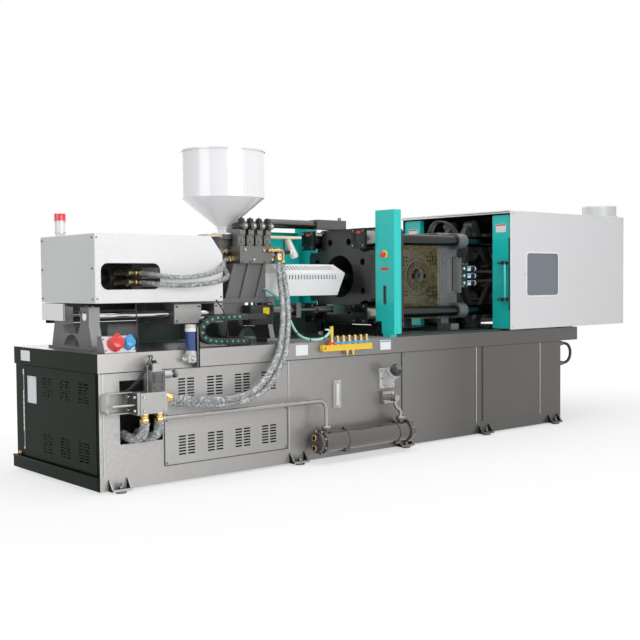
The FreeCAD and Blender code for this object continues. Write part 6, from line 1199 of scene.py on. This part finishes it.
def valve_block_details():
    """Plates, bolts, relief spindle, coil, unions and wrapped elbows of the pump's block."""
    valve_x, outlet_y = -2287, -660
    y, z, size = -640, 520, (112, 118)
    dark = Build().plate((-2433, y, z), LEFT, size, 4, 5)
    dark.plate((valve_x, -686, 642), FRONT, (86, 118), 4, 5)
    dark.plate((valve_x, -690, 668), FRONT, (70, 50), 6, 4)
    dark.on("lower_valve_block", "block_plates", "dark_steel")
    screws("block_plate_bolts", "lower_valve_block", LEFT, 9,
           corner_places((-2437, y, z), LEFT, size, 20), "bright_screw")
    screws("block_face_bolts", "lower_valve_block", FRONT, 8,
           corner_places((-2325, -700, z), FRONT, (170, 112), 16), "bright_screw")
    screws("block_top_bolts", "lower_valve_block", FRONT, 6,
           corner_places((valve_x, -690, 622), FRONT, (80, 60), 13)
           + corner_places((valve_x, -696, 668), FRONT, (70, 44), 12))
    rods = Build().turned((-2362, -688, 580), UP, [(0, 7), (6, 7), (7, 4.5), (150, 4.5),
                                                  (151, 8), (160, 8), (162, 5)], 16)
    rods.turned((-2243, -640, 676), RIGHT,
                [(0, 20), (6, 22), (12, 22), (14, 15), (50, 15), (52, 18), (66, 18), (68, 12),
                 (86, 11), (88, 24), (104, 24.5), (108, 20), (112, 10)], 28)
    rods.on("lower_valve_block", "relief_spindle", "screw_steel")
    coil = Build().turned((valve_x, -640, 704), UP, [(0, 26), (3, 30), (40, 30), (43, 26),
                                                    (44, 15), (58, 15), (60, 10)], 28)
    coil.box((-2322, -2300), (-662, -618), (708, 738))
    coil.on("lower_valve_block", "pump_valve_coil", "black_plastic", 1.5)
    unions = Build()
    for x in (-2367, -2270):
        unions.nut((x, outlet_y, 459), DOWN, 27, 20)
        unions.turned((x, outlet_y, 439), DOWN, [(0, 22), (6, 24), (12, 22)], 28)
        unions.nut((x, outlet_y, 426), DOWN, 29, 24)
        path = route([(x, outlet_y, 404), (x - 4, -662, 350), (x - 26, -640, 312),
                      (x - 50, -570, 306), (x - 62, -500, 330)])
        ride(tube(f"wrapped_elbow_{-x}", path, 29, "clear_film", 18, 2.6, x, 11),
             "lower_valve_block")
        ride(tube(f"elbow_core_{-x}", path, 23, "hose_braid", 18), "lower_valve_block")
    for y, z in ((-680, 542), (-625, 505)):
        unions.nut((-2236, y, z), RIGHT, 27, 18)
        unions.turned((-2218, y, z), RIGHT, [(0, 22), (5, 24), (20, 24), (24, 21)])
    unions.on("lower_valve_block", "pump_unions", "brass")


def oil_details():
    """Cooler flanges, filler, gauge and grease pump."""
    axis_y, axis_z = -660, 143
    pump, gauge = (-2011, -609), (-798, -580)
    heads, bands, ports = Build(), Build(), Build()
    for x, way in ((-1038, LEFT), (-212, RIGHT), (-1021, RIGHT), (-229, LEFT)):
        heads.bolt_circle((x, axis_y, axis_z), way, 76, 8, 7.5, 0.39)
    for x in (-815, -335):
        bands.hoop((x - 9, axis_y, axis_z), RIGHT, 69.5, 74, 18, 56)
        bands.slab((x, axis_y, 219), RIGHT, UP, (18, 16, 26))
    for x in (-975, -275):
        heads.bolt_circle((x, axis_y, 240), UP, 26, 4, 6, 0.78)
        bands.hoop((x, axis_y, 226), UP, 30, 36, 8, 36)
    for z in (109, 177):
        ports.hoop((-1081, axis_y, z), LEFT, 15, 22, 6, 32)
    heads.on("oil_cooler", "cooler_bolts", "bright_screw")
    bands.on("oil_cooler", "cooler_bands", "cooler_paint", 0.8)
    ports.on("oil_cooler", "cooler_port_rings", "brass")

    flanges = Build()
    for x, y, z, width, height, radius, lift in ((-321, -572, 522, 144, 144, 9, 7),
                                                 (-321, -572, 522, 144, 36, 8, 6),
                                                 (-328, -592, 385, 104, 80, 8, 7)):
        flanges.nuts(corner_places((x, y, z), FRONT, (width, height), 14), FRONT, radius, lift)
    flanges.on("filler_neck", "flange_bolts", "bright_screw")
    way, root = Vector((0, -0.766, 0.643)), Vector((-321, -562, 496))
    Build().hoop(root + way * 96, way, 38, 47, 14).on("filler_neck", "filler_collar",
                                                     "cast_aluminium")
    cap = Build()
    for spoke in spokes(way, 16):
        cap.slab(root + way * 137 + spoke * 42, way, spoke, (32, 5, 7))
    cap.turned(root + way * 170, way, [(0, 24), (3, 22), (5, 12)], 28)
    cap.on("filler_cap", "cap_ribs", "cap_green", 1.2)

    Build().border((*gauge, 442), FRONT, (50, 186), 7, 4, 8).on(
        "level_gauge", "gauge_frame", "band_steel", slot="aluminium")
    Build().nuts([(*gauge, 361), (*gauge, 523)], FRONT, 9, 8).on(
        "level_gauge", "gauge_bolts", "bright_screw")
    scale = Build().turned((-804, -582, 382), UP, [(0, 2.5), (2, 3.4), (118, 3.4), (120, 2.5)],
                           12)
    scale.turned((-790, -582, 382), UP, [(0, 1.4), (60, 1.4), (62, 0.8)], 10)
    scale.on("level_gauge", "gauge_tube", "bare_label")

    Build().turned((*pump, 806), UP, [(0, 29), (3, 31), (112, 31), (114, 29)], 32).on(
        "grease_pump", "grease_cartridge", "dark_blue")
    Build().turned((*pump, 920), UP, [(0, 31), (2, 34), (20, 34), (22, 32), (34, 32), (42, 26),
                                      (44, 10)], 32).on(
        "grease_pump", "cartridge_cap", "white_plastic")
    strap = Build().box((-1975, -1965), (-640, -572), (700, 948))
    strap.box((-1985, -1965), (-640, -632), (700, 948))
    strap.on("grease_pump", "cartridge_bracket", "dark_steel", 1.0)
    foot = Build().bolt_circle((pump[0], -631, 756), FRONT, 22, 4, 5.5, 0.78)
    foot.turned((pump[0], -631, 756), FRONT, [(0, 13), (9, 13), (12, 10), (18, 9)], 20)
    foot.nut((-2057, pump[1], 754), LEFT, 11, 12).nut((-1965, pump[1], 754), RIGHT, 11, 12)
    foot.on("grease_pump", "grease_fittings", "bright_screw")


def service_details():
    """Levers and stems of the water manifold; the two mains sockets on their plate."""
    bar_y = -593
    stems, rings = Build(), Build()
    for index in range(7):
        x = -865 + 54 * index
        stems.turned((x, bar_y, 785), UP, [(0, 16), (6, 16), (8, 12.5), (22, 12.5), (24, 15.5),
                                         (34, 15.5), (36, 10.5), (52, 10.5), (53, 12), (57, 12),
                                         (58, 10.5), (61, 9.5)], 20)
        stems.nut((x, bar_y, 800), UP, 17, 9)
        lever = Build().box((x - 47, x + 9), (-620, -605), (792, 806))
        lever.box((x - 50, x - 34), (-621.5, -603.5), (790, 808))
        lever.turned((x, -620, 799), FRONT, [(0, 7), (3, 7), (4, 4)], 16)
        lever.on("water_manifold", f"water_lever_{index + 1}",
                 "blue_plastic" if index else "red_plastic", 2.0)
    for x in (-724.6, -670.6):
        stems.turned((x, bar_y, 744), DOWN, [(0, 15), (8, 15), (9, 12), (18, 12), (19, 13.5),
                                           (22, 12), (24, 13.5), (27, 12), (29, 13.5),
                                           (33, 11.5)], 20)
    rings.hoop((-907, -609, 765), FRONT, 7, 15, 4, 28).hoop((-908, -596, 886), UP, 9, 15, 10, 28)
    stems.on("water_manifold", "water_stems", "brass")
    rings.on("water_manifold", "water_bar_ring", "white_plastic")

    lean = math.atan2(42, 100)
    out = Vector((0, -math.cos(lean), math.sin(lean)))
    for x, radius, reach, colour in ((-2496, 37, 46, "red"), (-2410, 30, 34, "blue")):
        base = Vector((x, -543, 860))
        socket = Build().turned(base, out, [
            (0, radius + 9), (5, radius + 8), (7, radius + 2.5), (reach - 6, radius + 1.5),
            (reach - 4, radius + 7), (reach + 5, radius + 7), (reach + 8, radius + 4),
            (reach + 17, radius + 2), (reach + 20, radius - 6), (reach + 22, 8)], 36)
        socket.slab(base + out * (reach + 2) + UPRIGHT * (radius + 6), RIGHT, UP, (26, 16, 16))
        socket.slab(base + out * (reach - 2) - UPRIGHT * (radius + 7), RIGHT, UP, (20, 14, 18))
        socket.on("socket_box", f"{colour}_socket", colour + "_plastic", 1.2)
    Build().plate((-2463, -543, 860), out, (198, 100), 2.4, 6).on(
        "socket_box", "socket_plate", "bare_label", slot="aluminium")
    screws("socket_plate_screws", "socket_box", out, 5,
           [Vector((x, -543, 860)) + UPRIGHT * z - out * z * 0.4 for x in (-2556, -2370)
            for z in (-38, 38)])


def platen_details():
    """Lock plates; the moving platen's greased face, ribs and core valves."""
    lock_face, valve_y = -334, -271
    bolts, labels = Build(), Build()
    for y, z in TIE_BARS:
        bolts.nuts(corner_places((lock_face, y, z), LEFT, (148, 148), 20), LEFT, 10, 8)
        bolts.bolt_circle((-151, y, z), LEFT, 78, 6, 8)
    for y in (-290, 290):
        labels.plate((lock_face, y, 1578), LEFT, (50, 18), 1.2, 3)
    bolts.on("tie_bar_nuts", "lock_plate_bolts", "screw_steel")
    labels.on("tie_bar_nuts", "lock_plate_labels", "red_plastic")

    centre = (579, 0, AXIS_Z)
    face = Build().hoop(centre, LEFT, 148, 158, 4, 64).hoop(centre, LEFT, 62, 74, 7, 56)
    face.hoop(centre, LEFT, 100, 106, 3, 56)
    face.bolt_circle(centre, LEFT, 88, 12, 6).bolt_circle(centre, LEFT, 128, 16, 4.5)
    face.on("moving_platen", "platen_hub_rings", "greased_face")
    # Shallow near-black recesses: painted shade inside the platen's bolt holes.
    holes = Build()
    for y in (-210, -180, -150, -120, 120, 150, 180, 210):
        for z in (1100, 1130, 1160, 1350, 1380, 1410):
            holes.turned((centre[0], y, z), LEFT, [(0, 9.5), (1.2, 9), (1.2, 6.5), (0.4, 6)], 14)
    holes.on("moving_platen", "platen_bolt_holes", "void_black")
    ribs = Build()
    for inset in (28, 68, 108):
        for turn, out in SIDES:
            ribs.border((694, turn * 228, AXIS_Z), out, (214 - inset, 664 - inset), 7, 5, 14)
    ribs.on("moving_platen", "platen_ribs", "rib_grey", 1.0)
    white, black, blue, plugs = (Build() for _ in range(4))
    for z in (AXIS_Z - 58, AXIS_Z, AXIS_Z + 58):
        black.turned((902, valve_y, z), RIGHT, [(0, 22), (2, 24), (26, 24), (28, 22), (30, 24),
                                            (54, 24), (57, 20)])
        white.plate((877, -294, z), FRONT, (50, 38), 3, 4)
        white.hoop((958, valve_y, z), RIGHT, 14, 23, 12, 28)
        blue.plate((877, -297, z + 8), FRONT, (30, 12), 1.5, 2)
        blue.box((909, 929), (-294, -284), (z + 16, z + 25))
        plugs.turned((972, valve_y, z), RIGHT, [(0, 17), (20, 14), (40, 8), (46, 5)], 20)
        plugs.turned((819, -298, z), FRONT, [(0, 15), (10, 15), (12, 12), (13, 6)], 20)
    plate = Build().plate((800, -240, 1270), FRONT, (20, 270), 4, 4)
    plate.box((778, 782), (-300, -228), (1120, 1400))
    white.on("platen_valves", "core_valve_faces", "white_plastic")
    black.on("platen_valves", "core_valve_coils", "black_plastic")
    blue.on("platen_valves", "core_valve_tabs", "blue_plastic")
    plugs.on("platen_valves", "core_valve_plugs", "bright_screw")
    plate.on("platen_valves", "core_valve_plate", "bright_screw")
    screws("core_block_screws", "platen_valves", FRONT, 6,
           [(x, -298, z) for x in (800, 848) for z in (1172, 1350)], "bright_screw")


def guard_details():
    """Window border, roof rim, screws, hems, louvres and cowl of the clamp guard."""
    cowl_x, cowl_y = 2464, -452
    border = Build().border((1443.5, -GUARD_FACE, 1263), FRONT, (441, 374), 15, 3.4, 42)
    for face in (-GUARD_FACE, GUARD_FACE):
        border.box((1027, 1033), (face - 1.5, face + 1.5), (824, 1768))
    border.on("clamp_guard", "window_border", "white_plastic", 0.4)
    rim = Build().turned((1024, -GUARD_FACE, 1768), BACK, [(0, 7), (2, 9), (1206, 9), (1212, 12),
                                                   (1222, 9)], 18)
    rim.box((1018, 1030), (-GUARD_FACE, GUARD_FACE), (1752, 1770))
    rim.on("clamp_guard", "roof_rim", "edge_steel", 2.0)
    screws("guard_screws", "clamp_guard", FRONT, 5,
           [(1214, -GUARD_FACE, 1263)]
           + [(x, -GUARD_FACE, z) for x in (1060, 2590) for z in (842, 1750)],
           "pale_screw")
    screws("guard_back_screws", "clamp_guard", BACK, 5,
           [(x, GUARD_FACE, z) for x in (1060, 1440, 1820, 2200, 2590) for z in (842, 1750)],
           "pale_screw")
    hems = Build()
    for y in ((-604.5, -600), (600, 604.5)):
        hems.box((2612, 2617.5), y, (822, 1770))
    hems.on("clamp_guard", "guard_seams", "pale_grey_paint")
    end = Build()
    for index in range(14):
        end.slab((2618, 0, 1180 + index * 26), BACK, (0.6, 0, 1), (520, 17, 2.4))
    end.on("clamp_guard", "guard_end_louvres", "pale_grey_paint")
    cowl = Build().hoop((cowl_x, cowl_y, 1860), UP, 149, 153, 12, 64)
    cowl.hoop((cowl_x, cowl_y, 1772), UP, 149, 158, 6, 64)
    cowl.on("vent_cowl", "cowl_hoops", "white_plastic", 0.6)
    angles = [math.pi * (0.125 + 0.25 * step) for step in range(8)]
    screws("cowl_screws", "vent_cowl", UP, 4.5,
           [(cowl_x + 155 * math.cos(a), cowl_y + 155 * math.sin(a), 1776) for a in angles])


def door_details():
    """Stop disc and slot of the post; grips, seals, rollers and bare labels of the doors."""
    stop = (-276, -507.5)
    Build().turned((*stop, 1410), LEFT, [(0, 31), (7, 31), (10, 28), (10, 22)], 40).on(
        "door_post", "stop_disc", "yellow_plastic")
    Build().plate((*stop, 1306), LEFT, (78, 20), 1.4, 3).on(
        "door_post", "stop_label", "red_plastic")
    Build().border((*stop, 1117), LEFT, (34, 140), 5, 2, 15).on(
        "door_post", "post_slot_edge", "dark_steel")
    slot = Build().plate((-262, -507.5, 1117), LEFT, (40, 150), 4, 8)
    slot.turned((-266, -507.5, 1062), UP, [(0, 4), (2, 6), (104, 6), (106, 4)], 14)
    slot.on("door_post", "post_slot_back", "dark_steel")
    post = Build().nuts([(-243, -GUARD_FACE, 862), (-243, -GUARD_FACE, 1706)], FRONT, 8, 6)
    post.box((-214, -206), (-606, -600), (838, 1730))
    post.on("door_post", "post_seam", "teal_paint", 0.5)

    for node, (side, out) in zip(("front_door", "rear_door"), SIDES):
        grip, bar, strip = Build(), Build(), Build()
        for z in (1063, 1357):
            grip.box((994, 1042), (side * 498, side * 571), (z - 11, z + 11))
            grip.turned((1000, side * 565, z - 15), UP, [(0, 13), (2, 15), (28, 15), (30, 13)],
                        20)
            bar.cap_screw((996, side * 520, z), LEFT, 6)
        bar.turned((1000, side * 565, 1078), UP, [(0, 12.5), (2, 13), (260, 13), (262, 12.5)])
        strip.box((1060, 1066), (side * 572, side * 593), (978, 1554))
        strip.turned((1066, side * 590, 980), UP, [(0, 4), (3, 6), (570, 6), (573, 4)], 12)
        grip.on(node, node + "_grip_ends", "black_plastic", 2.5)
        bar.on(node, node + "_grip_tube", "teal_bar")
        strip.on(node, node + "_seal", "rubber")
        Build().plate((1042, side * 494, 1637), LEFT, (104, 66), 1.4, 3).on(
            node, node + "_bare_label", "bare_label")
        Build().plate((1040.7, side * 494, 1662), LEFT, (96, 11), 0.8, 1).on(
            node, node + "_label_strip", "red_plastic")
        roller = Build()
        for x in (1120, 2120):
            for z in (1724, 848):
                roller.turned((x, side * 577, z), out, [(0, 18), (3, 21), (6, 17), (9, 21),
                                                       (12, 18)], 28)
        roller.on(node, node + "_rollers", "bright_screw")


def console_details():
    """Screen, bezel, bare keys, stop knob and screws of the operator's panel."""
    face = 739
    Build().plate((-425, face, 1410), BACK, (330, 170), 4, 10).on(
        "operator_panel", "console_screen", "window_pane")
    edge = Build().border((-425, face, 1410), BACK, (352, 192), 13, 9, 14)
    edge.plate((-425, face, 1215), BACK, (352, 150), 5, 8)
    edge.on("operator_panel", "console_bezel", "black_plastic")
    keys = Build()
    for row in range(4):
        for column in range(11):
            keys.plate((-570 + column * 29, face + 5, 1168 + row * 30), BACK, (21, 21), 4, 3)
    keys.on("operator_panel", "console_keys", "white_plastic")
    Build().turned((-290, face + 5, 1260), BACK, [(0, 20), (4, 20), (6, 14), (26, 15), (31, 12)],
                   32).on("operator_panel", "console_stop", "red_plastic")
    screws("panel_back_screws", "operator_panel", BACK, 5,
           [(x, GUARD_FACE, z) for x in (-622, -228) for z in (850, 1040)])


def tail_details():
    """Bolts of the toggle's lugs and of the clamp cylinder."""
    face = 1599
    nuts = Build()
    for y in (-175, 175):
        for z in (930, 1580):
            nuts.bolt_circle((face, y, z), RIGHT, 34, 6, 8)
    nuts.bolt_circle((face, 0, AXIS_Z), RIGHT, 150, 12, 10)
    nuts.on("tail_platen", "tail_platen_bolts", "screw_steel")


for details in (base_panels, deck_details, cover_details, manifold_details, carriage_details,
                make_drag_chain, valve_block_details, oil_details, service_details,
                platen_details, guard_details, door_details, console_details, tail_details,
                make_ties):
    details()
